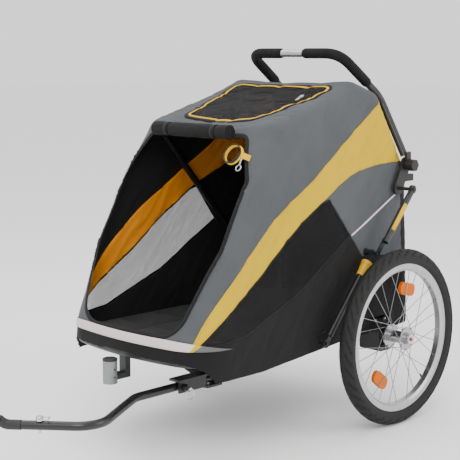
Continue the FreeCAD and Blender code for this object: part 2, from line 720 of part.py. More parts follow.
upper = upper.fuse(eye(brace_top, UPPER_BRACE_X - 5, UPPER_BRACE_X + 5, 12))
upper = upper.fuse(flat_link(brace_top, brace_top - up * 34, UPPER_BRACE_X - 5, UPPER_BRACE_X + 5, 15))
tongue_x = UPPER_BRACE_X - BRACE_RADIUS + 1
upper = upper.fuse(eye(breaking, tongue_x, tongue_x + 4, 9))
upper = upper.fuse(flat_link(breaking, breaking + up * 50, tongue_x, tongue_x + 4, 15))
upper = upper.cut(eye(brace_top, 200, 400, 5 + RUNNING)).cut(eye(breaking, 200, 400, 4.5))
keep("upper_braces", upper.removeSplitter(), mirrored(upper.removeSplitter()))

lower_start = at_x(foot - down * 24, LOWER_BRACE_X)
lower_end = at_x(breaking + down * 28, LOWER_BRACE_X)
lower = rod(lower_start, lower_end, BRACE_RADIUS)
lower = lower.fuse(eye(foot, LOWER_BRACE_X - 5, LOWER_BRACE_X + 5, 12))
lower = lower.fuse(flat_link(foot, foot - down * 30, LOWER_BRACE_X - 5, LOWER_BRACE_X + 5, 15))
lower = lower.fuse(eye(breaking, LOWER_BRACE_X - 1, LOWER_BRACE_X + 4, 10))
lower = lower.fuse(flat_link(breaking, breaking + down * 36, LOWER_BRACE_X - 1, LOWER_BRACE_X + 4, 15))
pivot_out = UPPER_BRACE_X - BRACE_RADIUS - 0.5
lower = lower.fuse(across(HALF_WIDTH - 3, pivot_out, breaking.y, breaking.z, 4))
lower = lower.cut(eye(foot, 200, 400, 5 + RUNNING))
keep("lower_braces", lower.removeSplitter(), mirrored(lower.removeSplitter()))

# Lock sleeves ride on the lower braces, flared towards the break
sleeve_high = at_x(breaking + down * SLEEVE_START, LOWER_BRACE_X)
sleeve_low = at_x(breaking + down * (SLEEVE_START + SLEEVE_LENGTH), LOWER_BRACE_X)
flare = Part.makeCone(SLEEVE_RADIUS - 3.5, SLEEVE_RADIUS - 1.5, SLEEVE_LENGTH - 10, sleeve_low, down * -1)
rim_start = sleeve_high + down * 10
flare = flare.fuse(rod(rim_start, sleeve_high, SLEEVE_RADIUS))
sleeve = flare.cut(rod(sleeve_low, sleeve_high, BRACE_RADIUS + GAP))
keep("left_lock_sleeve", sleeve)
keep("right_lock_sleeve", mirrored(sleeve))

# Feet that hold the braces, on the side rails
foot_block = box(rail_half + 0.5, HALF_WIDTH - 5, foot.y - 20, foot.y + 20, foot.z - 10, RAIL_HEIGHT + 20)
foot_block = foot_block.cut(rod(V(rail_half, -400, RAIL_HEIGHT), V(rail_half, -100, RAIL_HEIGHT),
                                RAIL_RADIUS + SEAT))
foot_block = foot_block.fuse(across(HALF_WIDTH - 8, LOWER_BRACE_X + 8, foot.y, foot.z, 5))
keep("brace_feet", foot_block, mirrored(foot_block))

# Front hoop, hinged at the break of the braces
leg_x = inside_x(breaking.z)
bend_z = VISOR_HEIGHT - 38
corner_z = VISOR_HEIGHT - 24
hoop_bend = V(inside_x(bend_z), VISOR_FRONT + 76, bend_z)
hoop_corner = V(inside_x(corner_z) - 22, VISOR_FRONT + 30, corner_z)
front_points = [V(leg_x, breaking.y, breaking.z), hoop_bend, hoop_corner]
front_points += [V(-p.x, p.y, p.z) for p in reversed(front_points)]
front_hoop = bent_tube(front_points, 34.0, HOOP_RADIUS)
for side in (-1, 1):
    lug = across(leg_x - HOOP_RADIUS, LOWER_BRACE_X - 2, breaking.y, breaking.z, 9)
    front_hoop = front_hoop.fuse(lug if side > 0 else mirrored(lug))
lug_hole = across(leg_x + 6, 400, breaking.y, breaking.z, 4 + RUNNING)
front_hoop = front_hoop.cut(lug_hole).cut(mirrored(lug_hole))
keep("front_hoop", front_hoop.removeSplitter())

# Handle
bar_y, bar_z = HANDLE_BAR
shoulder = V(*HANDLE_SHOULDER)
handle_foot = at_x(handle_axis, HANDLE_X)
leg = (shoulder - handle_foot).normalize()
handle_points = [handle_foot + leg * 30, shoulder, V(HANDLE_BAR_HALF, bar_y, bar_z)]
handle_points += [V(-p.x, p.y, p.z) for p in reversed(handle_points)]
handle = bent_tube(handle_points, 55.0, HANDLE_RADIUS)
plate = eye(handle_axis, HANDLE_X - 5, HANDLE_X + 5, 15)
flat_leg = V(0, leg.y, leg.z).normalize()
plate = plate.fuse(flat_link(handle_axis, handle_axis + flat_leg * 38, HANDLE_X - 5, HANDLE_X + 4, 20))
plate = plate.cut(eye(handle_axis, 200, 400, 5 + RUNNING))
handle = handle.fuse(plate).fuse(mirrored(plate))
keep("handle_tube", handle.removeSplitter())

# Foam grips cover the bends; the middle stays bare
toward = (shoulder - V(HANDLE_BAR_HALF, bar_y, bar_z)).normalize()
grip_end = V(HANDLE_BAR_HALF, bar_y, bar_z) + toward * GRIP_LEG
grip_points = [V(ALU_HALF, bar_y, bar_z), V(HANDLE_BAR_HALF, bar_y, bar_z), grip_end]
grip = bent_tube(grip_points, 55.0, GRIP_RADIUS)
grip = grip.cut(bent_tube(handle_points, 55.0, HANDLE_RADIUS + SEAT))
keep("handle_grips", grip, mirrored(grip))

# Clamp knobs at the handle pivots
knob = across(HANDLE_X + 5 + GAP, HANDLE_X + 25, handle_axis.y, handle_axis.z, 17)
for i in range(6):
    scallop = across(HANDLE_X, HANDLE_X + 40, handle_axis.y, handle_axis.z + 22, 7)
    scallop.rotate(handle_axis, V(1, 0, 0), i * 60.0)
    knob = knob.cut(scallop)
knob = knob.cut(across(HANDLE_X, HANDLE_X + 12, handle_axis.y, handle_axis.z, 5 + RUNNING))
keep("left_clamp_knob", knob)
keep("right_clamp_knob", mirrored(knob))

# The cover clears the joints that pass through it
clear = box(foot_x - 17, 400, neck_y - 31, neck_y + 17, neck_low - 1, neck_high + 1)
clear = clear.fuse(across(200, 400, breaking.y, breaking.z, 10))
clear = clear.fuse(box(200, 400, -36, 36, 0, RAIL_HEIGHT + 24))
clear = clear.fuse(across(200, 400, foot.y, foot.z, 9))
clear = clear.fuse(mirrored(clear))
keep("skirt", skirt.cut(clear))
keep("cover", largest(main.cut(clear)))
keep("cover_stripes", stripe.cut(clear), mirrored(stripe.cut(clear)))
keep("side_windows", window.cut(clear), mirrored(window.cut(clear)))

# Reflective strip round the nose, on the lip of the cover, pointed at its ends
STRIP_LENGTH = 148.0
band = cabin(-1.2).cut(cabin(-0.1))
strip_end = NOSE_BOTTOM + STRIP_LENGTH
band = band.common(prism([
    (NOSE_BOTTOM - 100, SKIRT_TOP - 8), (strip_end, SKIRT_TOP - 6),
    (LIP_FRONT + 12, LIP_HEIGHT - 6), (NOSE_BOTTOM - 100, LIP_HEIGHT - 6),
], -2 * HALF_WIDTH, 2 * HALF_WIDTH))
keep("front_strip", largest(band))

# Front wheel socket, open below, with a cap on top
socket = Part.makeCylinder(SOCKET_RADIUS, SOCKET_LENGTH, V(0, SOCKET_AT, SOCKET_BOTTOM))
socket = socket.cut(Part.makeCylinder(SOCKET_BORE, SOCKET_LENGTH, V(0, SOCKET_AT, SOCKET_BOTTOM)))
for rise in (18.0, 38.0):
    socket = socket.cut(across(0, 60, SOCKET_AT, SOCKET_BOTTOM + rise, 2.6))
keep("front_socket", socket)
cap_z = SOCKET_BOTTOM + SOCKET_LENGTH
cap = Part.makeCylinder(SOCKET_RADIUS + 0.5, 6, V(0, SOCKET_AT, cap_z))
cap = cap.makeFillet(2.5, [max(cap.Edges, key=lambda e: e.BoundBox.ZMin)])
keep("socket_cap", cap)

# Tow arm bracket with its pivot bolt
arm_x, arm_y = ARM_PIVOT
arm_top = ARM_HEIGHT + ARM_RADIUS
arm_low = ARM_HEIGHT - ARM_RADIUS
bracket = box(arm_x - 20, arm_x + 20, arm_y - 120, arm_y + 36, arm_top + 3, arm_top + 9)
bracket = bracket.fuse(box(arm_x - 20, arm_x + 20, arm_y - 20, arm_y + 36, arm_low - 9, arm_low - 3))
bracket = bracket.fuse(box(arm_x - 20, arm_x + 20, arm_y + 30, arm_y + 36, arm_low - 9, arm_top + 9))
bracket = bracket.fuse(box(arm_x - 14, arm_x + 14, arm_y - 16, arm_y + 16, arm_top + 3, RAIL_HEIGHT))
bracket = bracket.fuse(box(arm_x + 14, arm_x + 20, arm_y - 120, arm_y - 24, arm_low - 3, arm_top + 9))
plunger_y = arm_y - 103
bracket = bracket.fuse(across(arm_x + 18, arm_x + 36, plunger_y, ARM_HEIGHT, 9))
bracket = bracket.cut(across(arm_x, arm_x + 60, plunger_y, ARM_HEIGHT, 4 + RUNNING))
bolt_space = Part.makeCylinder(6 + SEAT, 200, V(arm_x, arm_y, arm_low - 60))
bracket = bracket.cut(bolt_space)
cross_tube = across(-rail_half, rail_half, arm_y, RAIL_HEIGHT, RAIL_RADIUS - 2 + SEAT)
bracket = bracket.cut(cross_tube)
keep("arm_bracket", bracket.removeSplitter())
bolt_up = Part.makeCylinder(6, arm_top + 20 - arm_low + 15, V(arm_x, arm_y, arm_low - 15))
bolt_head = Part.makeCylinder(10, 6, V(arm_x, arm_y, arm_low - 15))
keep("frame_pins", bolt_up.fuse(bolt_head))

# Pull pin with its ring
PULL_RING_RADIUS = 14.0
plunger = across(arm_x + ARM_RADIUS + GAP, arm_x + 44, plunger_y, ARM_HEIGHT, 4)
pull_ring = Part.makeTorus(PULL_RING_RADIUS, 1.6, V(arm_x + 42, plunger_y, ARM_HEIGHT - PULL_RING_RADIUS), V(1, 0, 0))
keep("arm_pull_pin", plunger.fuse(pull_ring))

# Tow arm
arm_points = [V(arm_x, arm_y + 16, ARM_HEIGHT)]
for x, y in (ARM_BEND_ONE, ARM_BEND_TWO, ARM_END):
    arm_points.append(V(x, y, ARM_HEIGHT))
arm = bent_tube(arm_points, 70.0, ARM_RADIUS)
arm = arm.cut(Part.makeCylinder(6 + RUNNING, 200, V(arm_x, arm_y, arm_low - 60)))
arm_end = arm_points[-1]
ahead = (arm_end - arm_points[-2]).normalize()
spigot_start = arm_end - ahead * 56
arm = arm.cut(rod(spigot_start - ahead * 2, arm_end, 8 + SEAT))
pin_at = arm_end - ahead * 42
pin_hole = Part.makeCylinder(3.5 + RUNNING, 200, pin_at - V(0, 0, 100))
arm = arm.cut(pin_hole)
keep("tow_arm", arm)

# Rubber coupler, bent forward and up to a tongue
eye_at = V(*HITCH_EYE)
yaw_at = V(eye_at.x, eye_at.y + 34, eye_at.z - 20)
turn_at = arm_end + ahead * 40
coupler = bent_tube([arm_end + ahead * 1.0, turn_at, yaw_at + V(0, 10, -6)], 24.0, 12.0)
coupler = coupler.fuse(rod(spigot_start, arm_end + ahead * 3, 8))
coupler = coupler.fuse(Part.makeCylinder(11, 10, yaw_at - V(0, 0, 5)))
fork_space = box(-200, 200, yaw_at.y - 40, yaw_at.y + 11.6, yaw_at.z + 5, yaw_at.z + 40)
fork_below = box(-200, 200, yaw_at.y - 40, yaw_at.y + 11.6, yaw_at.z - 40, yaw_at.z - 5)
coupler = coupler.cut(fork_space).cut(fork_below)
coupler = coupler.cut(Part.makeCylinder(4 + RUNNING, 100, yaw_at - V(0, 0, 50))).cut(pin_hole)
keep("hitch_coupler", largest(coupler))

# Hitch head: a fork on the coupler and an eye for the bicycle's axle
head = None
for z in (yaw_at.z + 5 + GAP, yaw_at.z - 10 - GAP):
    leaf = Part.makeCylinder(11, 5, V(yaw_at.x, yaw_at.y, z))
    leaf = leaf.fuse(box(yaw_at.x - 11, yaw_at.x + 11, yaw_at.y - 20, yaw_at.y, z, z + 5))
    head = leaf if head is None else head.fuse(leaf)
head = head.fuse(box(yaw_at.x - 11, yaw_at.x + 11, yaw_at.y - 26, yaw_at.y - 14,
                     yaw_at.z - 10 - GAP, yaw_at.z + 14))
head = head.fuse(across(eye_at.x - 11, eye_at.x + 11, eye_at.y, eye_at.z, EYE_RADIUS))
head = head.cut(across(eye_at.x - 20, eye_at.x + 20, eye_at.y, eye_at.z, HITCH_BORE))
pivot = Part.makeCylinder(4, 20 + 2 * GAP, yaw_at - V(0, 0, 10 + GAP))
keep("hitch_head", head.fuse(pivot).removeSplitter())

# Hitch pin with a wire bail
knob_z = ARM_HEIGHT + ARM_RADIUS + 0.6
hitch_pin = Part.makeCylinder(3.5, knob_z - arm_low + 8, V(pin_at.x, pin_at.y, arm_low - 8))
hitch_knob = Part.makeCylinder(9, 11, V(pin_at.x, pin_at.y, knob_z))
hitch_knob = hitch_knob.makeFillet(3, [max(hitch_knob.Edges, key=lambda e: e.BoundBox.ZMin)])
sideways = V(-ahead.y, ahead.x, 0)
bail_axis = V(pin_at.x, pin_at.y, knob_z + 5)
hitch_pin = hitch_pin.fuse(hitch_knob)
hitch_pin = hitch_pin.cut(rod(bail_axis - sideways * 20, bail_axis + sideways * 20, 1.2 + RUNNING))
keep("hitch_pin", hitch_pin)
back = ahead * -1
bail_points = [bail_axis - sideways * 7.5, bail_axis - sideways * 12.5]
bail_points += [bail_axis - sideways * 12.5 + back * 22, bail_axis + sideways * 12.5 + back * 22]
bail_points += [bail_axis + sideways * 12.5, bail_axis + sideways * 7.5]
bail = bent_tube(bail_points, 2.4, 1.2)
keep("pin_bail", bail)

# Door rolled up under the visor
ROLL_RADIUS = 20.0
ROLL_HALF = 142.0
outward = facing * (-1 if facing.y > 0 else 1)
roll_at = on_front(0, VISOR_HEIGHT - 24) + outward * 100
for step in range(5):
    roll_axis = Part.makeLine(roll_at - V(ROLL_HALF, 0, 0), roll_at + V(ROLL_HALF, 0, 0))
    roll_at = roll_at - outward * (main.distToShape(roll_axis)[0] - ROLL_RADIUS - GAP)
roll = across(-ROLL_HALF, ROLL_HALF, roll_at.y, roll_at.z, ROLL_RADIUS)
for x in (-90, 90):
    groove = across(x - 10, x + 10, roll_at.y, roll_at.z, 60)
    groove = groove.cut(across(x - 10, x + 10, roll_at.y, roll_at.z, ROLL_RADIUS - 2.5))
    roll = roll.cut(groove)
keep("door_roll", roll)

# Leash: a coil of cord that a strap holds at the opening's edge, and a snap hook at its end
CORD_RADIUS = 2.0
COIL_RADIUS = 27.0
COIL_TURNS = 3
COIL_PITCH = 5.4
COIL_AT = (174.0, VISOR_HEIGHT - 74.0)
coil_at = on_front(*COIL_AT) + outward * 16
sideward = V(1, 0, 0)


def coil_point(turns):
    angle = 2 * math.pi * turns
    flat = sideward * math.cos(angle) + slope * math.sin(angle)
    return coil_at + flat * COIL_RADIUS + outward * (COIL_PITCH * (turns - COIL_TURNS / 2))


coil_edges = []
for i in range(COIL_TURNS * 4):
    arc = Part.Arc(coil_point(i / 4), coil_point((i + 0.5) / 4), coil_point((i + 1) / 4))
    coil_edges.append(arc.toShape())
coil_wire = Part.Wire(coil_edges)
coil_first = coil_edges[0]
coil_heading = coil_first.tangentAt(coil_first.FirstParameter)
coil = swept(coil_wire, coil_point(0), coil_heading, CORD_RADIUS)
keep("leash_coil", coil)
samples = [coil_point(i / 48) for i in range(48 * COIL_TURNS + 1)]
least = min((p - q).Length for i, p in enumerate(samples) for q in samples[i + 24:]) - 2 * CORD_RADIUS
print("leash coil: least gap to itself %.2f mm, length %.0f mm" % (least, coil_wire.Length))


def on_cover(x, z):
    """The cover's face in front of a point of the sloping front plane."""
    start = on_front(x, z) + outward * 60
    hit = outer.common(Part.makeLine(start, start - outward * 200))
    return min((v.Point for v in hit.Vertexes), key=lambda p: (p - start).Length)


strap_start = coil_at + sideward * (COIL_RADIUS + CORD_RADIUS + GAP)
strap_end = on_cover(COIL_AT[0] + COIL_RADIUS + 20, COIL_AT[1])
run = (strap_end - strap_start).normalize()
strap_end = strap_end - run * (GAP * 14)
strap_side = slope.cross(run).normalize() * 1.2
strap_foot = slope * -8
corners = [strap_start + strap_side, strap_end + strap_side, strap_end - strap_side, strap_start - strap_side]
corners = [c + strap_foot for c in corners]
strap = Part.Face(Part.makePolygon(corners + corners[:1])).extrude(slope * 16)
keep("leash_tab", strap)

hook_start = coil_point(0)
hook_along = coil_heading * -1
hook_eye = hook_start + hook_along * 33
hook = rod(hook_start, hook_start + hook_along * 13, 3.2)
hook = hook.fuse(rod(hook_start + hook_along * 13, hook_start + hook_along * 24, 2.2))
hook = hook.fuse(Part.makeTorus(8.0, 1.8, hook_eye, outward))
keep("leash_hook", hook)

# Bolts that hold the housings and the arm bracket
for side in (-1, 1):
    for y in (-20, 20):
        x = side * (rail_half + 30)
        keep("frame_bolts", Part.makeCylinder(5, 4, V(x, y, RAIL_HEIGHT + 17)))

# The hitch eye and the tyres are the ends of the box, which is centred on the origin
front_end = eye_at.y - EYE_RADIUS
rear_end = TYRE_RADIUS
SHIFT = -(front_end + rear_end) / 2
for name, solids in parts.items():
    shape = solids[0] if len(solids) == 1 else Part.makeCompound(solids)
    shape = shape.copy()
    shape.translate(V(0, SHIFT, 0))
    shape.exportStep("parts/%s.step" % name)
print("length %.0f mm, nodes %d, moved by %.2f mm" % (rear_end - front_end, len(parts), SHIFT))
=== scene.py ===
# %% [markdown]
# A dog bike trailer: a soft cabin stretched over folding hoops, on two spoked wheels. The construction
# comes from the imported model, which stays where it is. This script gives every piece its finish, and
# remakes the cloth, the tyres, the pads and the cord.

# %% Load the frame
import math

import bmesh
import bpy
import numpy as np
from mathutils import Matrix, Vector, kdtree, noise


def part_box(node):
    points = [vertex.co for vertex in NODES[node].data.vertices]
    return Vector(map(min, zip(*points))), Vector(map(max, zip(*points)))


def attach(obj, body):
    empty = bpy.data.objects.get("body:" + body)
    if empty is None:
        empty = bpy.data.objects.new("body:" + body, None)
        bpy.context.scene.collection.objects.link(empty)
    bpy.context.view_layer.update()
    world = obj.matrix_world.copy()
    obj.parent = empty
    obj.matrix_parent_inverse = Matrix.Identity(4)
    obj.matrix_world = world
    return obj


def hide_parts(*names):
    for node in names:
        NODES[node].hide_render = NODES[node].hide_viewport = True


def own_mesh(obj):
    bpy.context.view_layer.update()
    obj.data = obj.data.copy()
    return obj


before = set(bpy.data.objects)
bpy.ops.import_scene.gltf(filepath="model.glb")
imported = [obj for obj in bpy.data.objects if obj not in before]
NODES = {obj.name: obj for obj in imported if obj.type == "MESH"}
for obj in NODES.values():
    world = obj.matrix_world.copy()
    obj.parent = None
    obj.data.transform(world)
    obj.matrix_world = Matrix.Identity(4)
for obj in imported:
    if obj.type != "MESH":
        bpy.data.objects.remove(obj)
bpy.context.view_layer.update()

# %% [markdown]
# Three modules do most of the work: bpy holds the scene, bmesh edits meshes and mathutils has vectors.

MM = 0.001
WELD = 0.01 * MM

# %% [markdown]
# The photograph was taken with a long lens, at the height of the trailer's push bar and turned 44 degrees
# from its nose. The camera was worked out from the rim's ellipse, so it is placed by numbers. It looks
# down by 8 degrees.

# %% Camera
IMAGE_SIZE = 460
FOCAL_PIXELS = 1215.0
SENSOR = 36.0
CAMERA_AT = Vector((2.3556, -2.2456, 1.042))
CAMERA_AZIMUTH = math.radians(44.37)
CAMERA_ELEVATION = math.radians(8.29)

lens = bpy.data.cameras.new("camera")
lens.sensor_width = SENSOR
lens.lens = FOCAL_PIXELS / IMAGE_SIZE * SENSOR
camera = bpy.data.objects.new("camera", lens)
backward = Vector((
    math.sin(CAMERA_AZIMUTH) * math.cos(CAMERA_ELEVATION),
    -math.cos(CAMERA_AZIMUTH) * math.cos(CAMERA_ELEVATION),
    math.sin(CAMERA_ELEVATION),
))
camera.location = CAMERA_AT
camera.rotation_euler = backward.to_track_quat("Z", "Y").to_euler()
bpy.context.scene.collection.objects.link(camera)
bpy.context.scene.camera = camera
print("lens of", round(lens.lens, 1), "mm")

# %% [markdown]
# The studio is a pale floor under a bright sky, with a large soft lamp above, one in front and one at the
# side. Large lamps make soft shadows, which let the folds of the cloth show without hard edges.

# %% Floor and light
FLOOR_SIZE = 60.0


def soft_lamp(name, place, target, size, power):
    """A square lamp that faces a point."""
    light = bpy.data.lights.new(name, "AREA")
    light.size = size
    light.energy = power
    lamp = bpy.data.objects.new(name, light)
    lamp.location = place
    lamp.rotation_euler = (Vector(place) - Vector(target)).to_track_quat("Z", "Y").to_euler()
    bpy.context.scene.collection.objects.link(lamp)
    return lamp


shape = bmesh.new()
bmesh.ops.create_grid(shape, x_segments=1, y_segments=1, size=FLOOR_SIZE / 2)
floor_mesh = bpy.data.meshes.new("floor")
shape.to_mesh(floor_mesh)
shape.free()
floor = bpy.data.objects.new("floor", floor_mesh)
bpy.context.scene.collection.objects.link(floor)

floor_finish = bpy.data.materials.new("pale_floor")
floor_finish.use_nodes = True
floor_shader = floor_finish.node_tree.nodes["Principled BSDF"]
floor_shader.inputs["Base Color"].default_value = (0.97, 0.97, 0.97, 1)
floor_shader.inputs["Roughness"].default_value = 0.9
floor.data.materials.append(floor_finish)

sky = bpy.data.worlds.new("studio")
sky.use_nodes = True
sky.node_tree.nodes["Background"].inputs["Color"].default_value = (1, 1, 1, 1)
sky.node_tree.nodes["Background"].inputs["Strength"].default_value = 1.35
bpy.context.scene.world = sky

TARGET = (0, 0.1, 0.5)
soft_lamp("key", (2.4, -3.0, 3.2), TARGET, 2.2, 110)
soft_lamp("fill", (3.2, 1.6, 1.8), TARGET, 2.0, 45)
soft_lamp("top", (-0.8, -0.4, 3.6), TARGET, 3.0, 70)
print("floor and three lamps")

# %% [markdown]
# Materials are sums of small patterns. A class wraps a shader socket, so that a formula such as 1 - mask
# adds its own Math nodes. Every other node comes from one method, which takes a type, its settings and
# its inputs.

# %% Shader formulas
class Value:
    """A number that varies over a surface."""

    def __init__(self, finish, socket):
        self.finish = finish
        self.socket = socket

    def _math(self, operation, a, b=None):
        values = {0: a} if b is None else {0: a, 1: b}
        return self.finish.node("ShaderNodeMath", {"operation": operation}, values)

    def __add__(self, other):
        return self._math("ADD", self, other)

    __radd__ = __add__

    def __sub__(self, other):
        return self._math("SUBTRACT", self, other)

    def __rsub__(self, other):
        return self._math("SUBTRACT", other, self)

    def __mul__(self, other):
        return self._math("MULTIPLY", self, other)

    __rmul__ = __mul__

    def __truediv__(self, other):
        return self._math("DIVIDE", self, other)

    def __rtruediv__(self, other):
        return self._math("DIVIDE", other, self)

    def __gt__(self, other):
        return self._math("GREATER_THAN", self, other)

    def __lt__(self, other):
        return self._math("LESS_THAN", self, other)

    def sine(self):
        return self._math("SINE", self)

    def size(self):
        return self._math("ABSOLUTE", self)

    def least(self, other):
        return self._math("MINIMUM", self, other)


class Finish:
    """A material made of nodes, with the parts that all of them share."""

    def __init__(self, name, **constants):
        self.material = bpy.data.materials.new(name)
        self.material.use_nodes = True
        self.tree = self.material.node_tree
        self.shader = self.tree.nodes["Principled BSDF"]
        for socket, value in constants.items():
            self.shader.inputs[socket.replace("_", " ")].default_value = value
        self._place = None

    def node(self, kind, settings=None, inputs=None, output=0):
        made = self.tree.nodes.new(kind)
        for key, value in (settings or {}).items():
            if key == "stops":
                set_stops(made.color_ramp, value)
            else:
                setattr(made, key, value)
        for key, value in (inputs or {}).items():
            if isinstance(value, Value):
                self.tree.links.new(value.socket, made.inputs[key])
            else:
                made.inputs[key].default_value = value
        return Value(self, made.outputs[output])

    def place(self):
        """Where a point lies on its piece, in metres."""
        if self._place is None:
            self._place = self.node("ShaderNodeTexCoord", output="Object")
        return self._place

    def axes(self):
        """The place as three values."""
        split = self.node("ShaderNodeSeparateXYZ", None, {0: self.place()}).socket.node
        return [Value(self, split.outputs[i]) for i in range(3)]

    def facing(self):
        """How far a face looks along each axis."""
        normal = self.node("ShaderNodeTexCoord", output="Normal")
        split = self.node("ShaderNodeSeparateXYZ", None, {0: normal}).socket.node
        return [Value(self, split.outputs[i]).size() for i in range(3)]

    def speckle(self, scale, detail=2.0, roughness=0.5):
        return self.node("ShaderNodeTexNoise", None, {
            "Vector": self.place(), "Scale": scale, "Detail": detail, "Roughness": roughness,
        })

    def mix(self, factor, a, b):
        return self.node("ShaderNodeMix", {"data_type": "RGBA"}, {0: factor, 6: a, 7: b}, output=2)

    def ramp(self, value, *stops):
        """Colours along a value."""
        return self.node("ShaderNodeValToRGB", {"stops": stops}, {0: value})

    def shades(self, value, colour, *stops):
        """Darker and lighter shades of one colour along a value."""
        return self.ramp(value, *[(at, shade(colour, factor)) for at, factor in stops])

    def feed(self, socket, value):
        self.tree.links.new(value.socket, self.shader.inputs[socket])
        return self

    def bump(self, height, distance, strength=1.0):
        inputs = {"Height": height, "Distance": distance, "Strength": strength}
        return self.feed("Normal", self.node("ShaderNodeBump", None, inputs))


def set_stops(ramp, stops):
    """Give a ramp its positions and colours."""
    while len(ramp.elements) < len(stops):
        ramp.elements.new(1.0)
    for element, (position, colour) in zip(ramp.elements, stops):
        element.position = position
        element.color = colour


def shade(colour, factor):
    """A colour made darker or lighter, with alpha."""
    return tuple(min(1.0, c * factor) for c in colour[:3]) + (1.0,)


print("shader helpers ready")

# %% [markdown]
# The cover is a tightly woven polyester. Threads cross at right angles, so the weave is a product of two
# waves, taken along the two axes that a face doesn't look along. Slow noise varies the colour as dye and
# handling do.

# %% Cloth finishes
THREAD = 1.1 * MM


def weave_of(finish, pitch):
    """Crossed threads on every side of a piece."""
    x, y, z = finish.axes()
    fx, fy, fz = finish.facing()
    turn = 2 * math.pi / pitch
    wx = (x * turn).sine()
    wy = (y * turn).sine()
    wz = (z * turn).sine()
    return wy * wz * fx + wx * wz * fy + wx * wy * fz


def cloth(name, colour, pitch=THREAD, rough=0.82, sheen=0.03, spread=0.16, fleck=0.0):
    """A woven cloth with uneven dye and a fine thread bump."""
    finish = Finish(name, Sheen_Weight=sheen, Sheen_Roughness=0.5, Specular_IOR_Level=0.25)
    weave = weave_of(finish, pitch)
    cloudy = finish.speckle(7.0, 4.0, 0.6)
    grain = finish.speckle(900.0, 2.0, 0.7)
    tone = cloudy * 0.6 + grain * (0.25 + fleck) + weave * 0.10
    finish.feed("Base Color", finish.shades(tone, colour, (0.25, 1 - spread), (0.62, 1 + spread)))
    finish.feed("Roughness", rough + (grain - 0.5) * 0.2)
    finish.bump(weave * 0.5 + grain * 0.5 + cloudy * 0.6, 0.35 * MM, 0.6)
    return finish.material


GREY = (0.066, 0.071, 0.076)
YELLOW = (0.56, 0.36, 0.0)
CHARCOAL = (0.0046, 0.0041, 0.0040)
grey_cloth = cloth("grey_cloth", GREY, fleck=0.1)
yellow_cloth = cloth("yellow_cloth", YELLOW, spread=0.07)
black_cloth = cloth("black_cloth", CHARCOAL, pitch=1.6 * MM, spread=0.3, fleck=0.15)
lining_cloth = cloth("lining_cloth", (0.006, 0.006, 0.006), spread=0.3)
lining_orange = cloth("lining_orange", (0.75, 0.25, 0.001), spread=0.1)
strip_cloth = cloth("strip_cloth", (0.62, 0.53, 0.53), pitch=2.2 * MM, rough=0.5, sheen=0.1, spread=0.06)
strip_grey = cloth("strip_grey", (0.10, 0.10, 0.10), pitch=2.2 * MM, rough=0.5, spread=0.2)
binding_cloth = cloth("binding_cloth", (0.007, 0.007, 0.007), pitch=1.8 * MM, spread=0.25)
zip_yellow = cloth("zip_yellow", (0.66, 0.38, 0.0), pitch=1.4 * MM, spread=0.1)
print("cloth finishes ready")

# %% [markdown]
# The windows are an open net. Real holes would need millions of faces, so a fine grid drives the alpha
# instead: threads are dense, and between them one sees into the cabin.

# %% Net finish
def net(name, colour, pitch=2.0 * MM, thread=0.64, least=0.25):
    """An open net of crossed threads."""
    finish = Finish(name, Roughness=0.75, Specular_IOR_Level=0.2)
    x, y, z = finish.axes()
    fx, fy, fz = finish.facing()
    turn = math.pi / pitch
    gaps_x = (x * turn).sine().size()
    gaps_y = (y * turn).sine().size()
    gaps_z = (z * turn).sine().size()
    hole = (gaps_y.least(gaps_z)) * fx + (gaps_x.least(gaps_z)) * fy + (gaps_x.least(gaps_y)) * fz
    threads = hole < thread
    cloudy = finish.speckle(6.0, 3.0)
    finish.feed("Base Color", finish.shades(cloudy, colour, (0.3, 0.75), (0.7, 1.3)))
    finish.feed("Alpha", threads * 0.45 + least)
    finish.bump(1 - hole, 0.4 * MM, 0.5)
    return finish.material


net_black = net("net_black", (0.010, 0.0095, 0.0095))
net_dense = net("net_dense", (0.010, 0.0095, 0.0095), least=0.5)
print("net finish ready")

# %% [markdown]
# A few helpers do what most pieces need: put a finished mesh into the scene on its body, copy packed
# nodes, keep what a modifier makes, and shade a piece smoothly.

# %% Mesh helpers
def add_piece(name, shape, materials, body="chassis"):
    """Turn a bmesh into an object that rides on a body."""
    mesh = bpy.data.meshes.new(name)
    shape.to_mesh(mesh)
    shape.free()
    piece = bpy.data.objects.new(name, mesh)
    bpy.context.scene.collection.objects.link(piece)
    for material in materials if isinstance(materials, (list, tuple)) else [materials]:
        mesh.materials.append(material)
    if body:
        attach(piece, body)
    return piece


def node_shape(*names):
    """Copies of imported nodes, with their loose triangles merged."""
    shape = bmesh.new()
    for name in names:
        shape.from_mesh(NODES[name].data)
    bmesh.ops.remove_doubles(shape, verts=shape.verts, dist=WELD)
    return shape


def apply_modifiers(piece):
    """Make the modifiers' result the mesh itself."""
    bpy.context.view_layer.update()
    graph = bpy.context.evaluated_depsgraph_get()
    made = bpy.data.meshes.new_from_object(piece.evaluated_get(graph))
    piece.modifiers.clear()
    old = piece.data
    piece.data = made
    bpy.data.meshes.remove(old)


def smooth(piece):
    for face in piece.data.polygons:
        face.use_smooth = True
    return piece


def drop(piece):
    bpy.data.objects.remove(piece)


print("mesh helpers ready")

# %% [markdown]
# All cloth panels lie on one tight skin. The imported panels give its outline: their hull is remeshed into
# even squares, which folds can bend. The hull reaches below the hem, because remeshing rounds its lowest
# edge.

# %% The skin
SKIN_NODES = ("cover", "skirt", "cover_stripes", "side_windows", "skylight_mesh")
CLOTH_STEP = 7 * MM
SKIN_DEPTH = 1.2 * MM
BELOW_HEM = Vector((0, 0, -30 * MM))

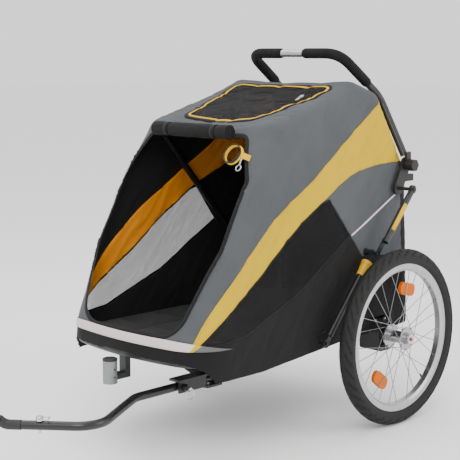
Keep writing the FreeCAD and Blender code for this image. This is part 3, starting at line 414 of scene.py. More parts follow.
corners = node_shape(*SKIN_NODES)
bmesh.ops.delete(corners, geom=corners.edges, context="EDGES_FACES")
lowest = min(v.co.z for v in corners.verts)
bmesh.ops.translate(corners, verts=[v for v in corners.verts if v.co.z < lowest + 2 * MM], vec=BELOW_HEM)
bmesh.ops.convex_hull(corners, input=corners.verts)
bmesh.ops.delete(corners, geom=[v for v in corners.verts if not v.link_faces], context="VERTS")
skin = add_piece("skin", corners, grey_cloth, None)
remesh = skin.modifiers.new("even", "REMESH")
remesh.mode = "VOXEL"
remesh.voxel_size = CLOTH_STEP
apply_modifiers(skin)


def coordinates(mesh):
    places = np.empty(len(mesh.vertices) * 3)
    mesh.vertices.foreach_get("co", places)
    return places.reshape(-1, 3)


def directions(mesh):
    found = np.empty(len(mesh.vertices) * 3)
    mesh.vertex_normals.foreach_get("vector", found)
    return found.reshape(-1, 3)


def set_coordinates(mesh, places):
    mesh.vertices.foreach_set("co", np.ascontiguousarray(places).ravel())
    mesh.update()


skin_normals = directions(skin.data)
set_coordinates(skin.data, coordinates(skin.data) - skin_normals * SKIN_DEPTH)
skin_points = coordinates(skin.data)
skin_tree = kdtree.KDTree(len(skin_points))
for i, point in enumerate(skin_points):
    skin_tree.insert(point, i)
skin_tree.balance()
print("skin of", len(skin_points), "points")

# %% [markdown]
# Cloth on hoops is never flat. It stays out where a tube or a seam carries it and sinks between them, and
# it creases gently towards the corners. Both are added as an inward move that depends only on where a
# point lies.

# %% Folds
def to_frame(y, z):
    """A point of the side view, from axle-centred millimetres to the frame's metres."""
    return np.array([(y + AXLE_TO_ORIGIN) * MM, z * MM])


AXLE_TO_ORIGIN = (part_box("left_rim")[0].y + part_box("left_rim")[1].y) / 2 / MM
SAG = 7.0 * MM
SAG_REACH = 70.0 * MM
CREASE = 4.4 * MM
CREASE_REACH = 50 * MM
SEAM_EASE = 30 * MM
FLAT_HALF = 0.20
NOSE_LIP = to_frame(-718, 330)
NOSE_CALM = 130 * MM
FRONT_HOOP = [to_frame(*p) for p in ((-45, 488), (-257, 706), (-318, 766), (-378, 815), (-428, 856))]
REAR_HOOP = [to_frame(*p) for p in ((172, 240), (184, 700), (66, 926), (-52, 966))]
NOSE_EDGE = [to_frame(*p) for p in ((-738, 226), (-718, 335), (-646, 500), (-535, 700), (-428, 850))]
HEM = [to_frame(*p) for p in ((-738, 226), (-480, 228), (-140, 254), (174, 258))]
TUB_EDGE = [to_frame(*p) for p in (
    (-673, 312), (-538, 328), (-330, 410), (-108, 540), (-60, 478), (180, 458))]


def distance_to(points, line):
    """How far side view points lie from a line of straight runs."""
    nearest = np.full(len(points), 9.0)
    for a, b in zip(line, line[1:]):
        along = b - a
        share = np.clip(((points - a) @ along) / (along @ along), 0, 1)
        nearest = np.minimum(nearest, np.linalg.norm(points - a - share[:, None] * along, axis=1))
    return nearest


def creases(points):
    """Slow wavy creases, stretched along the cloth's pull."""
    found = np.empty(len(points))
    for i, (x, y, z) in enumerate(points):
        pull = 0.62 * y + 0.78 * z
        over = 0.78 * y - 0.62 * z
        side = 1 if x > 0 else -1
        broad = noise.noise(Vector((pull * 3.2, over * 20.0, side * 3.0 + x * 4.0)))
        narrow = noise.noise(Vector((pull * 6.0, over * 42.0, side * 7.0 + x * 9.0)))
        found[i] = 0.8 * broad + 0.9 * (0.5 - abs(narrow)) ** 3 * 8.0 - 0.4
    return found


def fold_depth(points):
    """How far the cloth sinks in at each point."""
    side = points[:, 1:]
    taut = np.minimum.reduce([distance_to(side, line) for line in (FRONT_HOOP, REAR_HOOP, NOSE_EDGE, HEM)])
    half = np.abs(points[:, 0])
    inner = np.maximum(0.0, FLAT_HALF - half)
    taut = np.where(half < FLAT_HALF, np.maximum(taut, inner), taut)
    seam = distance_to(side, TUB_EDGE)
    hold = np.where(half > FLAT_HALF, np.minimum(taut, seam + SEAM_EASE), taut)
    sink = SAG * (1 - np.exp(-(hold / SAG_REACH) ** 1.5))
    calm = 1 - np.exp(-(np.linalg.norm(side - NOSE_LIP, axis=1) / NOSE_CALM) ** 2)
    return sink + CREASE * calm * creases(points) * (0.25 + 0.75 * (1 - np.exp(-hold / CREASE_REACH)))


print("axle lies at Y", round(AXLE_TO_ORIGIN), "mm in the frame")

# %% [markdown]
# The real cabin is sewn from panels of several cloths. Each packed panel cuts its own piece out of the
# skin, as a pattern does, so neighbours meet exactly along their seams. Then the piece sinks into the
# folds.

# %% Cut the panels
SIDES = (("left", 1), ("right", -1))


def cut_panel(name, node, materials, side=0):
    """The part of the skin that a packed panel covers, on one side or both, sunk into its folds."""
    panel = add_piece(name, bmesh.new(), materials, None)
    panel.data = skin.data.copy()
    panel.data.materials.clear()
    for material in materials:
        panel.data.materials.append(material)
    marker = bpy.data.materials.new(name + "_cut")
    cutter = add_piece(name + "_cutter", node_shape(node), marker, None)
    keep = panel.modifiers.new("panel", "BOOLEAN")
    keep.operation = "INTERSECT"
    keep.solver = "MANIFOLD"
    keep.material_mode = "TRANSFER"
    keep.object = cutter
    apply_modifiers(panel)
    drop(cutter)
    shape = bmesh.new()
    shape.from_mesh(panel.data)
    cut_slots = [i for i, m in enumerate(panel.data.materials) if m == marker]
    faces = [f for f in shape.faces if f.material_index in cut_slots or f.calc_center_median().x * side < 0]
    bmesh.ops.delete(shape, geom=faces, context="FACES")
    bmesh.ops.dissolve_degenerate(shape, dist=0.05 * MM, edges=shape.edges)
    shape.to_mesh(panel.data)
    shape.free()
    panel.data.materials.clear()
    for material in materials:
        panel.data.materials.append(material)
    for face in panel.data.polygons:
        face.material_index = 0
    bpy.data.materials.remove(marker)
    sink_in(panel)
    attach(panel, "chassis")
    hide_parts(node)
    print(name, "has", len(panel.data.polygons), "faces")
    return smooth(panel)


def sink_in(piece, lift=0.0):
    """Move a piece that lies on the skin into the skin's folds."""
    places = coordinates(piece.data)
    outward = np.array([skin_normals[skin_tree.find(p)[1]] for p in places])
    set_coordinates(piece.data, places + outward * (lift - fold_depth(places))[:, None])


cover = cut_panel("cover_cloth", "cover", [grey_cloth, lining_cloth, black_cloth])
skirt = cut_panel("tub_cloth", "skirt", [black_cloth, lining_cloth])
STRIPE_FACES = [yellow_cloth, lining_orange]
stripes = [cut_panel(side + "_stripe_cloth", "cover_stripes", STRIPE_FACES, x) for side, x in SIDES]
windows = [cut_panel(side + "_window_net", "side_windows", [net_black], x) for side, x in SIDES]
skylight = cut_panel("skylight_net", "skylight_mesh", [net_dense])

# %% [markdown]
# The rear wall and its corners are sewn from the tub's black cloth up to the knee of the rear hoop. It is
# the same panel as the grey roof, so the faces there only take another material.

# %% Black rear wall
REAR_WALL_FROM = to_frame(128, 735)
for face in cover.data.polygons:
    at = face.center
    if at.y > REAR_WALL_FROM[0] and at.z < REAR_WALL_FROM[1]:
        face.material_index = 2
print("rear wall has", sum(f.material_index == 2 for f in cover.data.polygons), "black faces")

# %% [markdown]
# Cut cloth frays, so every free edge is bound with tape, and the roof window closes with a bright zip
# along its edges. A tape follows an edge exactly when it starts as an inset of the panel: only the
# inset's rim is kept and lifted.

# %% Edge tapes
def edge_tape(name, panel, width, lift, material, wanted=None):
    """A tape along the edges of a panel, where wanted agrees."""
    shape = bmesh.new()
    shape.from_mesh(panel.data)
    rim = bmesh.ops.inset_region(
        shape, faces=shape.faces, thickness=width, use_boundary=True, use_even_offset=False)["faces"]
    shape.faces.index_update()
    rim = {f.index for f in rim if wanted is None or wanted(f)}
    bmesh.ops.delete(shape, geom=[f for f in shape.faces if f.index not in rim], context="FACES")
    for face in shape.faces:
        face.material_index = 0
    shape.normal_update()
    for vert in shape.verts:
        vert.co += vert.normal * lift
    tape = smooth(add_piece(name, shape, material))
    print(name, "has", len(tape.data.polygons), "faces")
    return tape


FRONT_FACING = Vector((0, -0.876, 0.483))
UPWARD = Vector((0, 0, 1))
FRONT_LEAST = 0.6
ROOF_LEAST = 0.75
FRONT_LEVELS = (0.40, 0.50)
FRONT_HALVES = (0.215, 0.250)


def looks(face, direction):
    """How far the skin under a face looks along a direction."""
    return Vector(skin_normals[skin_tree.find(face.calc_center_median())[1]]).dot(direction)


def on_front(face):
    """Whether a face belongs to the sloping front, near the opening."""
    at = face.calc_center_median()
    near = abs(at.x) < np.interp(at.z, FRONT_LEVELS, FRONT_HALVES)
    return near and looks(face, FRONT_FACING) > FRONT_LEAST


def on_roof_side(face):
    """Whether a face looks up."""
    return looks(face, UPWARD) > ROOF_LEAST


opening_tape = edge_tape("opening_tape", cover, 10 * MM, 1.2 * MM, binding_cloth, on_front)
roof_tape = edge_tape("roof_tape", cover, 12 * MM, 0.8 * MM, binding_cloth, on_roof_side)
roof_zip = edge_tape("roof_zip", skylight, 7 * MM, 1.6 * MM, zip_yellow)
window_tapes = [edge_tape(w.name + "_tape", w, 5 * MM, 0.8 * MM, binding_cloth) for w in windows]
stripe_tapes = [edge_tape(s.name + "_tape", s, 4 * MM, 0.5 * MM, yellow_cloth) for s in stripes]
tapes = [opening_tape, roof_tape, roof_zip, *window_tapes, *stripe_tapes]
drop(skin)

# %% [markdown]
# A cloth has a right side and a lining. Solidify gives the sheet its thickness inwards and puts the
# second material on the inner side, so one looks into a dark cabin with orange stripes.

# %% Thickness of the cloth
CLOTH_THICK = 1.4 * MM


def thicken(piece, thickness, offset=-1.0):
    """Give a sheet its thickness for good."""
    wall = piece.modifiers.new("cloth", "SOLIDIFY")
    wall.thickness = thickness
    wall.offset = offset
    wall.use_even_offset = False
    wall.material_offset = 1 if len(piece.data.materials) > 1 else 0
    apply_modifiers(piece)


for pieces, share in (([cover], 1.0), ([skirt], 1.6), (stripes, 1.0), (windows, 0.5), ([skylight], 0.5)):
    for piece in pieces:
        thicken(piece, CLOTH_THICK * share)
for tape in tapes:
    thicken(tape, 0.9 * MM)

# %% [markdown]
# A pale piping runs over each side panel from the window's corner to the rear. It is a round cord under
# cloth, so a curve with a round bevel makes it, once its points are laid on the sunken cloth.

# %% Piping
SIDE_PIPING = [to_frame(*p) for p in ((-106, 541), (-60, 560), (16, 595), (90, 631), (148, 660))]
PIPING_RADIUS = 2.6 * MM
OUTSIDE = 0.27


def round_line(name, points, radius, material, closed=False, radii=None):
    """A smooth round line through control points, made a mesh."""
    data = bpy.data.curves.new(name, "CURVE")
    data.dimensions = "3D"
    data.bevel_depth = radius
    data.bevel_resolution = 5
    data.use_fill_caps = True
    line = data.splines.new("NURBS")
    line.points.add(len(points) - 1)
    for i, point in enumerate(points):
        line.points[i].co = (*point, 1.0)
        line.points[i].radius = radii[i] if radii else 1.0
    line.order_u = 3
    line.use_endpoint_u = not closed
    line.use_cyclic_u = closed
    line.resolution_u = 8
    curve = bpy.data.objects.new(name, data)
    bpy.context.scene.collection.objects.link(curve)
    bpy.context.view_layer.update()
    mesh = bpy.data.meshes.new_from_object(curve.evaluated_get(bpy.context.evaluated_depsgraph_get()))
    bpy.data.objects.remove(curve)
    shape = bmesh.new()
    shape.from_mesh(mesh)
    bpy.data.meshes.remove(mesh)
    bmesh.ops.remove_doubles(shape, verts=shape.verts, dist=WELD)
    bmesh.ops.recalc_face_normals(shape, faces=shape.faces)
    return smooth(add_piece(name, shape, material))


def on_cloth(x_sign, side_point, stand):
    """The point of the cabin's side at a place of the side view."""
    found = skin_tree.find((x_sign * OUTSIDE, side_point[0], side_point[1]))
    point = np.array([found[0].x, side_point[0], side_point[1]])
    normal = skin_normals[found[1]]
    return point + normal * (stand - fold_depth(point[None, :])[0])


pipings = []
for side, sign in SIDES:
    route = [on_cloth(sign, p, PIPING_RADIUS * 0.6) for p in SIDE_PIPING]
    pipings.append(round_line(side + "_piping", route, PIPING_RADIUS, strip_cloth))
print("piping on both sides")

# %% [markdown]
# A reflective tape lies round the nose, where the cabin's front meets the tub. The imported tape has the
# right outline, so a copy of it is divided finely and then follows the cloth. The stripe's tip crosses
# it, so two cuts along the stripe's edges give the tip its own faces, and behind the tip the tape lies
# under the net and looks grey.

# %% Nose tape
STRIPE_TIP_FRONT = ((0, -0.2085, 0.312), Vector((0, 120.3, -76.7)).normalized())
STRIPE_TIP_REAR = ((0, -0.2007, 0.312), Vector((0, 83.7, -92.0)).normalized())
shape = node_shape("front_strip")
for place, across in (STRIPE_TIP_FRONT, STRIPE_TIP_REAR):
    everything = shape.verts[:] + shape.edges[:] + shape.faces[:]
    bmesh.ops.bisect_plane(shape, geom=everything, plane_co=place, plane_no=across)
for face in shape.faces:
    at = face.calc_center_median()
    behind = [(at - Vector(place)).dot(across) > 0 for place, across in (STRIPE_TIP_FRONT, STRIPE_TIP_REAR)]
    face.material_index = sum(behind) if abs(at.x) > 0.2 else 0
bmesh.ops.subdivide_edges(shape, edges=shape.edges, cuts=1, use_grid_fill=True)
nose_tape = smooth(add_piece("nose_tape", shape, [strip_cloth, yellow_cloth, strip_grey]))
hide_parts("front_strip")
sink_in(nose_tape, 0.4 * MM)
print("nose tape has", len(nose_tape.data.polygons), "faces")

# %% [markdown]
# Metal and plastic finishes. Powder coat is a satin skin with an orange peel and small scuffs; moulded
# plastic has a fine even grain; bare metal shows the marks of its last polishing, stretched along the way
# it was worked.

# %% Hard finishes
def coated(name, colour, rough=0.40):
    """Powder coat with orange peel and scuffs."""
    finish = Finish(name, Specular_IOR_Level=0.5)
    cloudy = finish.speckle(16.0, 4.0, 0.6)
    peel = finish.speckle(650.0, 1.0)
    scuff = finish.speckle(130.0, 6.0, 0.75)
    tone = cloudy * 0.45 + scuff * 0.55
    finish.feed("Base Color", finish.shades(tone, colour, (0.35, 0.75), (0.60, 1.25), (0.74, 2.6)))
    finish.feed("Roughness", rough + (scuff - 0.5) * 0.35)
    finish.bump(peel + scuff * 0.4, 0.10 * MM, 0.5)
    return finish.material


def moulded(name, colour, rough=0.5, grain=900.0):
    """Moulded plastic with a fine grain."""
    finish = Finish(name, Specular_IOR_Level=0.45)
    pebble = finish.node("ShaderNodeTexVoronoi", None, {"Vector": finish.place(), "Scale": grain})
    cloudy = finish.speckle(22.0, 4.0, 0.6)
    finish.feed("Base Color", finish.shades(cloudy, colour, (0.3, 0.82), (0.7, 1.2)))
    finish.feed("Roughness", rough + (cloudy - 0.5) * 0.3)
    finish.bump(pebble, 0.12 * MM, 0.45)
    return finish.material


def polished(name, colour, rough=0.25, stretch=(40.0, 900.0, 900.0)):
    """Bare metal with stretched polishing marks."""
    finish = Finish(name, Metallic=1.0)
    along = finish.node("ShaderNodeMapping", None, {"Vector": finish.place(), "Scale": stretch})
    marks = finish.node("ShaderNodeTexNoise", None, {"Vector": along, "Scale": 1.0, "Detail": 4.0})
    cloudy = finish.speckle(30.0, 4.0, 0.6)
    finish.feed("Base Color", finish.shades(marks * 0.6 + cloudy * 0.4, colour, (0.3, 0.80), (0.7, 1.08)))
    finish.feed("Roughness", rough + (marks - 0.5) * 0.30 + (cloudy - 0.5) * 0.15)
    finish.bump(marks, 0.04 * MM, 0.3)
    return finish.material


def bare_middle(name, coat, metal, reach):
    """A tube of bare metal in its middle and coated on both sides of it."""
    finish = Finish(name, Specular_IOR_Level=0.5)
    middle = finish.axes()[0].size() < reach
    marks = finish.speckle(320.0, 5.0, 0.7)
    cloudy = finish.speckle(24.0, 4.0, 0.6)
    black = finish.shades(marks, coat, (0.35, 0.8), (0.7, 1.8))
    bright = finish.shades(cloudy, metal, (0.3, 0.8), (0.7, 1.1))
    finish.feed("Base Color", finish.mix(middle, black, bright))
    finish.feed("Metallic", middle * 1.0)
    finish.feed("Roughness", 0.38 + (marks - 0.5) * 0.25)
    finish.bump(marks, 0.06 * MM, 0.4)
    return finish.material


frame_black = coated("frame_black", (0.0075, 0.0075, 0.008))
arm_black = coated("arm_black", (0.007, 0.007, 0.0075), 0.30)
plastic_black = moulded("plastic_black", (0.008, 0.008, 0.0085))
plastic_yellow = moulded("plastic_yellow", (0.62, 0.34, 0.0), 0.42)
plastic_red = moulded("plastic_red", (0.45, 0.02, 0.015), 0.40)
board_black = moulded("board_black", (0.03, 0.03, 0.031), 0.62, 260.0)
rim_silver = polished("rim_silver", (0.50, 0.49, 0.49), 0.34, (700.0, 60.0, 60.0))
hub_silver = polished("hub_silver", (0.42, 0.42, 0.43), 0.28, (900.0, 90.0, 90.0))
handle_bar = bare_middle("handle_bar", (0.0075, 0.0075, 0.008), (0.52, 0.52, 0.54), 60 * MM)
socket_grey = polished("socket_grey", (0.28, 0.29, 0.29), 0.45, (900.0, 900.0, 60.0))
spoke_steel = polished("spoke_steel", (0.27, 0.27, 0.28), 0.35, (300.0, 300.0, 300.0))
pin_steel = polished("pin_steel", (0.60, 0.60, 0.62), 0.28, (60.0, 600.0, 600.0))
print("hard finishes ready")

# %% [markdown]
# Rubber is dull and a little dusty, foam is full of small cells, and a wheel reflector is a clear orange
# lens over rows of tiny prisms. Each is one pattern at its true scale with a bump.

# %% Rubber, foam and lens
def rubber(name, colour, rough=0.72):
    finish = Finish(name, Specular_IOR_Level=0.35)
    dust = finish.speckle(28.0, 6.0, 0.7)
    grain = finish.speckle(1100.0, 2.0, 0.6)
    tone = dust * 0.8 + grain * 0.2
    finish.feed("Base Color", finish.shades(tone, colour, (0.35, 0.8), (0.62, 1.3), (0.78, 2.2)))
    finish.feed("Roughness", rough + (dust - 0.5) * 0.25)
    finish.bump(grain, 0.15 * MM, 0.5)
    return finish.material


def foam(name, colour):
    finish = Finish(name, Specular_IOR_Level=0.2)
    cells = finish.node("ShaderNodeTexVoronoi", None, {"Vector": finish.place(), "Scale": 700.0})
    cloudy = finish.speckle(18.0, 4.0)
    x, y, z = finish.axes()
    waves = (x * (2 * math.pi / (22 * MM)) + y * 120.0).sine()
    finish.feed("Base Color", finish.shades(cloudy * 0.7 + cells * 0.3, colour, (0.3, 0.75), (0.7, 1.35)))
    finish.feed("Roughness", 0.86 + (cells - 0.5) * 0.12)
    finish.bump(cells * 0.25 + waves * 0.5, 0.9 * MM, 0.7)
    return finish.material


def lens_of(name, colour):
    finish = Finish(name, Specular_IOR_Level=0.15)
    prisms = finish.node("ShaderNodeTexVoronoi", {"distance": "CHEBYCHEV"}, {
        "Vector": finish.place(), "Scale": 330.0, "Randomness": 0.0,
    })
    cloudy = finish.speckle(60.0, 3.0)
    finish.feed("Base Color", finish.shades(prisms * 0.8 + cloudy * 0.2, colour, (0.15, 0.70), (0.6, 1.25)))
    finish.feed("Roughness", 0.30 + prisms * 0.25)
    finish.bump(prisms, 0.5 * MM, 0.6)
    return finish.material


tyre_rubber = rubber("tyre_rubber", (0.0065, 0.0062, 0.006))
coupler_rubber = rubber("coupler_rubber", (0.022, 0.021, 0.021), 0.62)
grip_foam = foam("grip_foam", (0.008, 0.008, 0.0085))
lens_orange = lens_of("lens_orange", (0.55, 0.11, 0.0))
print("rubber, foam and lens ready")

# %% [markdown]
# The frame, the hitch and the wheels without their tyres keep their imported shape, because it is exact
# already. They only take a finish, which replaces every material that they came with.

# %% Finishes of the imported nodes
FINISHES = {
    frame_black: ("base_frame", "brace_feet", "hoop_feet", "rear_hoop", "front_hoop", "upper_braces",
                  "lower_braces", "arm_bracket"),
    arm_black: ("tow_arm", "hitch_head"),
    plastic_black: ("joint_blocks", "axle_housings", "socket_cap", "left_clamp_knob", "right_clamp_knob",
                    "left_brake_ring", "right_brake_ring", "brake_pedal"),
    plastic_red: ("left_release_button", "right_release_button"),
    plastic_yellow: ("left_lock_sleeve", "right_lock_sleeve"),
    board_black: ("floor_board",),
    rim_silver: ("left_rim", "right_rim"),
    hub_silver: ("left_hub", "right_hub"),
    handle_bar: ("handle_tube",),
    socket_grey: ("front_socket",),
    spoke_steel: ("left_spokes", "right_spokes"),
    pin_steel: ("left_bearings", "right_bearings", "axle_pins", "frame_pins", "frame_bolts", "arm_pull_pin",
                "hitch_pin", "pin_bail", "left_brake_bolt", "right_brake_bolt"),
    coupler_rubber: ("hitch_coupler", "left_inner_tube", "right_inner_tube"),
    lens_orange: ("left_reflectors", "right_reflectors"),
}
for finish, names in FINISHES.items():
    for name in names:
        for slot in NODES[name].material_slots:
            slot.material = finish
print("finishes on", sum(len(names) for names in FINISHES.values()), "nodes")

# %% [markdown]
# A tyre is a ring, so a circle is spun about the axle. Its tread is raised afterwards: the outer rows of
# faces form slanted blocks, which one inset lifts together, so every groove between them is as deep as
# the next.

# %% Tyres
TYRE_MAJOR = 226.5 * MM
TYRE_MINOR = 21.3 * MM
TREAD_DEPTH = 2.1 * MM
SECTION = 32
AROUND = 280
TREAD_ROWS = 8
RIB_ROWS = 1.1
BLOCK_STEPS = 7
GROOVE_STEPS = 2
SLANT = 1.5


def treaded_tyre(side):
    """A tyre with slanted tread blocks."""
    low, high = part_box(side + "_rim")
    hub = (low + high) / 2
    shape = bmesh.new()
    upright = Matrix.Translation(hub + Vector((0, 0, TYRE_MAJOR))) @ Matrix.Rotation(math.pi / 2, 4, "X")
    ring = bmesh.ops.create_circle(shape, segments=SECTION, radius=TYRE_MINOR, matrix=upright)["verts"]
    edges = list({e for v in ring for e in v.link_edges})
    bmesh.ops.spin(shape, geom=ring + edges, cent=hub, axis=(1, 0, 0), angle=2 * math.pi, steps=AROUND,
                   use_merge=True)
    bmesh.ops.remove_doubles(shape, verts=shape.verts, dist=WELD)
    bmesh.ops.recalc_face_normals(shape, faces=shape.faces)
    blocks = []
    for face in shape.faces:
        at = face.calc_center_median() - hub
        away = math.hypot(at.y, at.z)
        row = math.atan2(at.x, away - TYRE_MAJOR) / (2 * math.pi) * SECTION
        step = math.atan2(at.y, at.z) / (2 * math.pi) * AROUND
        slant = round(step + abs(row) * SLANT) % BLOCK_STEPS
        if abs(row) < RIB_ROWS or (abs(row) < TREAD_ROWS - 0.5 and slant >= GROOVE_STEPS):
            blocks.append(face)
    bmesh.ops.inset_region(shape, faces=blocks, thickness=0.5 * MM, depth=TREAD_DEPTH, use_even_offset=True)
    tyre = smooth(add_piece(side + "_tread_tyre", shape, tyre_rubber, side + "_wheel"))
    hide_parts(side + "_tyre")
    print(tyre.name, "has", len(tyre.data.polygons), "faces")


for side in ("left", "right"):
    treaded_tyre(side)

# %% [markdown]
# The foam grips cover the handle's bends. The control points lie on the bar's corner line: a smooth curve
# of order 3 touches the runs halfway between its points, which puts its bend on the tube's own bend.

# %% Grips
BAR_CORNER = Vector((171, 424.5, 1041)) * MM
BAR_LEG = Vector((9, 175, -123)).normalized()
BEND = 52.7 * MM
GRIP_RADIUS = 15 * MM


def grip(side, sign):
    """A foam grip with soft ends, from the bar's bare middle to its leg."""
    inner = Vector((41 * MM, BAR_CORNER.y, BAR_CORNER.z))
    along = Vector((1, 0, 0))
    places = [inner, inner + along * 4 * MM, inner + along * 9 * MM, BAR_CORNER - along * 2 * BEND]
    places += [BAR_CORNER, BAR_CORNER + BAR_LEG * 2 * BEND]
    places += [BAR_CORNER + BAR_LEG * way * MM for way in (140, 146, 150)]
    radii = [0.80, 0.95, 1.0, 1.0, 1.0, 1.0, 1.0, 0.95, 0.80]
    points = [Vector((sign * p.x, p.y, p.z)) for p in places]
    made = round_line(side + "_grip", points, GRIP_RADIUS, grip_foam, radii=radii)
    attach(made, "handle")
    return made


grips = [grip(side, sign) for side, sign in SIDES]
for piece in grips:
    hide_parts("handle_grips")
print("two foam grips")

# %% [markdown]
# The brace carries a band of bright tape, and the lock sleeve below it is bright too, so that one sees
# where to fold. The tape is a short pipe round the tube, without the part that faces the cabin.

# %% Brace bands
BRACE_LOW = Vector((317, 433.6, 487.9)) * MM
BRACE_HIGH = Vector((317, 582.5, 657.0)) * MM
BAND_FROM, BAND_TO = 0.36, 0.76
BAND_RADIUS = 9.25 * MM
for side, sign in SIDES:
    low = BRACE_LOW.lerp(BRACE_HIGH, BAND_FROM)
    high = BRACE_LOW.lerp(BRACE_HIGH, BAND_TO)
    low.x *= sign
    high.x *= sign
    turn = (high - low).to_track_quat("Z", "Y").to_matrix().to_4x4()
    shape = bmesh.new()
    bmesh.ops.create_cone(shape, cap_ends=False, segments=40, radius1=BAND_RADIUS, radius2=BAND_RADIUS,
                          depth=(high - low).length, matrix=Matrix.Translation((low + high) / 2) @ turn)
    bmesh.ops.recalc_face_normals(shape, faces=shape.faces)
    hidden = [f for f in shape.faces if f.normal.x * sign < 0.15 - f.normal.y * 0.5]
    bmesh.ops.delete(shape, geom=hidden, context="FACES")
    bmesh.ops.subdivide_edges(shape, edges=shape.edges, cuts=2, use_grid_fill=True)
    band = smooth(add_piece(side + "_brace_band", shape, zip_yellow, "upper_braces"))
    thicken(band, 0.4 * MM, 1.0)
print("bands on both braces")

# %% [markdown]
# The floor mat is padded and sewn through in rows. Its outline is remeshed into even faces, the sewn
# lines are pinned, and a cloth simulation with air pressure fills the pads between them, as wadding
# would.

# %% Quilted mat
MAT_STEP = 6 * MM
MAT_RISE = 6 * MM
MAT_ROWS = 6
MAT_COLUMNS = 3
MAT_BASE = 8 * MM
SEAM_DEPTH = 5 * MM
SEAM_WIDTH = 7 * MM
SEWN_WIDTH = 4 * MM
SWELL_FRAMES = 20
mat_low, mat_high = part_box("floor_mat")
mat_cloth = cloth("mat_cloth", (0.012, 0.012, 0.013), pitch=1.8 * MM, spread=0.25, fleck=0.2)
mat = add_piece("quilted_mat", node_shape("floor_mat"), mat_cloth)
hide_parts("floor_mat")


def from_seams(point):
    """How far a point of the mat lies from the nearest sewn line."""
    rows = (point[1] - mat_low.y) / (mat_high.y - mat_low.y) * MAT_ROWS
    columns = (point[0] - mat_low.x) / (mat_high.x - mat_low.x) * MAT_COLUMNS
    row_gap = abs(rows - round(rows)) * (mat_high.y - mat_low.y) / MAT_ROWS
    column_gap = abs(columns - round(columns)) * (mat_high.x - mat_low.x) / MAT_COLUMNS
    return min(row_gap, column_gap)


def fill_with_air(piece, pinned, most, pressure=4.0):
    """Swell a closed cloth between its pinned points, by no more than a given way."""
    held = piece.vertex_groups.new(name="sewn")
    held.add(pinned, 1.0, "REPLACE")
    before = coordinates(piece.data)
    swell = piece.modifiers.new("air", "CLOTH")
    swell.settings.quality = 4
    swell.settings.mass = 0.15
    swell.settings.vertex_group_mass = "sewn"
    swell.settings.use_pressure = True
    swell.settings.uniform_pressure_force = pressure
    swell.settings.effector_weights.gravity = 0.0
    swell.point_cache.frame_start = 1
    swell.point_cache.frame_end = SWELL_FRAMES
    for step in range(1, SWELL_FRAMES + 1):
        bpy.context.scene.frame_set(step)
    apply_modifiers(piece)
    bpy.context.scene.frame_set(1)
    moved = coordinates(piece.data) - before
    way = np.linalg.norm(moved, axis=1)
    share = np.minimum(1.0, most / np.maximum(way, 1e-9))
    set_coordinates(piece.data, before + moved * share[:, None])
    piece.vertex_groups.clear()
    return way.max()


even = mat.modifiers.new("even", "REMESH")
even.mode = "VOXEL"
even.voxel_size = MAT_STEP
apply_modifiers(mat)
places = coordinates(mat.data)
on_top = places[:, 2] > mat_low.z + MAT_BASE
seam_gap = np.array([from_seams(p) for p in places])
places[on_top, 2] -= SEAM_DEPTH * np.exp(-(seam_gap[on_top] / SEAM_WIDTH) ** 2)
set_coordinates(mat.data, places)
sewn = [i for i in range(len(places)) if not on_top[i] or seam_gap[i] < SEWN_WIDTH]
print("the pads would rise by", round(fill_with_air(mat, sewn, MAT_RISE) / MM, 1), "mm")
rounder = mat.modifiers.new("rounder", "SUBSURF")
rounder.levels = 1
rounder.render_levels = 1
apply_modifiers(mat)
smooth(mat)
print("mat has", len(mat.data.polygons), "faces")

# %% [markdown]
# The front door is rolled up under the roof's edge and tied with two straps. A roll is a cylinder with
# many rings, which the straps pinch and which wrinkles along its length; stepped insets of its ends show
# the layers.

# %% Door roll
ROLL_AT = Vector((0, 17.0, 837.2)) * MM
ROLL_HALF = 142 * MM
ROLL_RADIUS = 19.2 * MM
ROLL_SIDES = 48
STRAP_AT = 90 * MM
STRAP_RADIUS = 17.4 * MM
STRAP_WIDTH = 16 * MM
PINCH_REACH = 13 * MM
lying = Matrix.Translation(ROLL_AT) @ Matrix.Rotation(math.pi / 2, 4, "Y")
shape = bmesh.new()
bmesh.ops.create_cone(shape, cap_ends=True, segments=ROLL_SIDES, radius1=ROLL_RADIUS, radius2=ROLL_RADIUS,
                      depth=2 * ROLL_HALF, matrix=lying)
for layer in range(4):
    ends = [f for f in shape.faces if abs(f.normal.x) > 0.9 and len(f.verts) == ROLL_SIDES]
    step = (-1.2 if layer % 2 == 0 else 0.7) * MM
    bmesh.ops.inset_region(shape, faces=ends, thickness=3.2 * MM, depth=step)
runs = [e for e in shape.edges if abs(e.verts[0].co.x - e.verts[1].co.x) > ROLL_HALF]
bmesh.ops.subdivide_edges(shape, edges=runs, cuts=90)
for vert in shape.verts:
    away = Vector((0, vert.co.y - ROLL_AT.y, vert.co.z - ROLL_AT.z))
    angle = math.atan2(away.y, away.z)
    x, up, across = vert.co.x, math.cos(angle), math.sin(angle)
    pinch = 0.15 * math.exp(-((abs(x) - STRAP_AT) / PINCH_REACH) ** 2)
    ripple = noise.noise(Vector((x * 26.0, up * 2.2, across * 2.2)))
    ripple += 0.5 * noise.noise(Vector((x * 70.0, up * 5.0, across * 5.0 + 9.0)))
    layers = 0.05 * across if abs(x) < ROLL_HALF else 0.0
    vert.co += away * (0.06 * ripple - pinch + layers)
bmesh.ops.recalc_face_normals(shape, faces=shape.faces)
door = smooth(add_piece("rolled_door", shape, black_cloth))
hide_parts("door_roll")

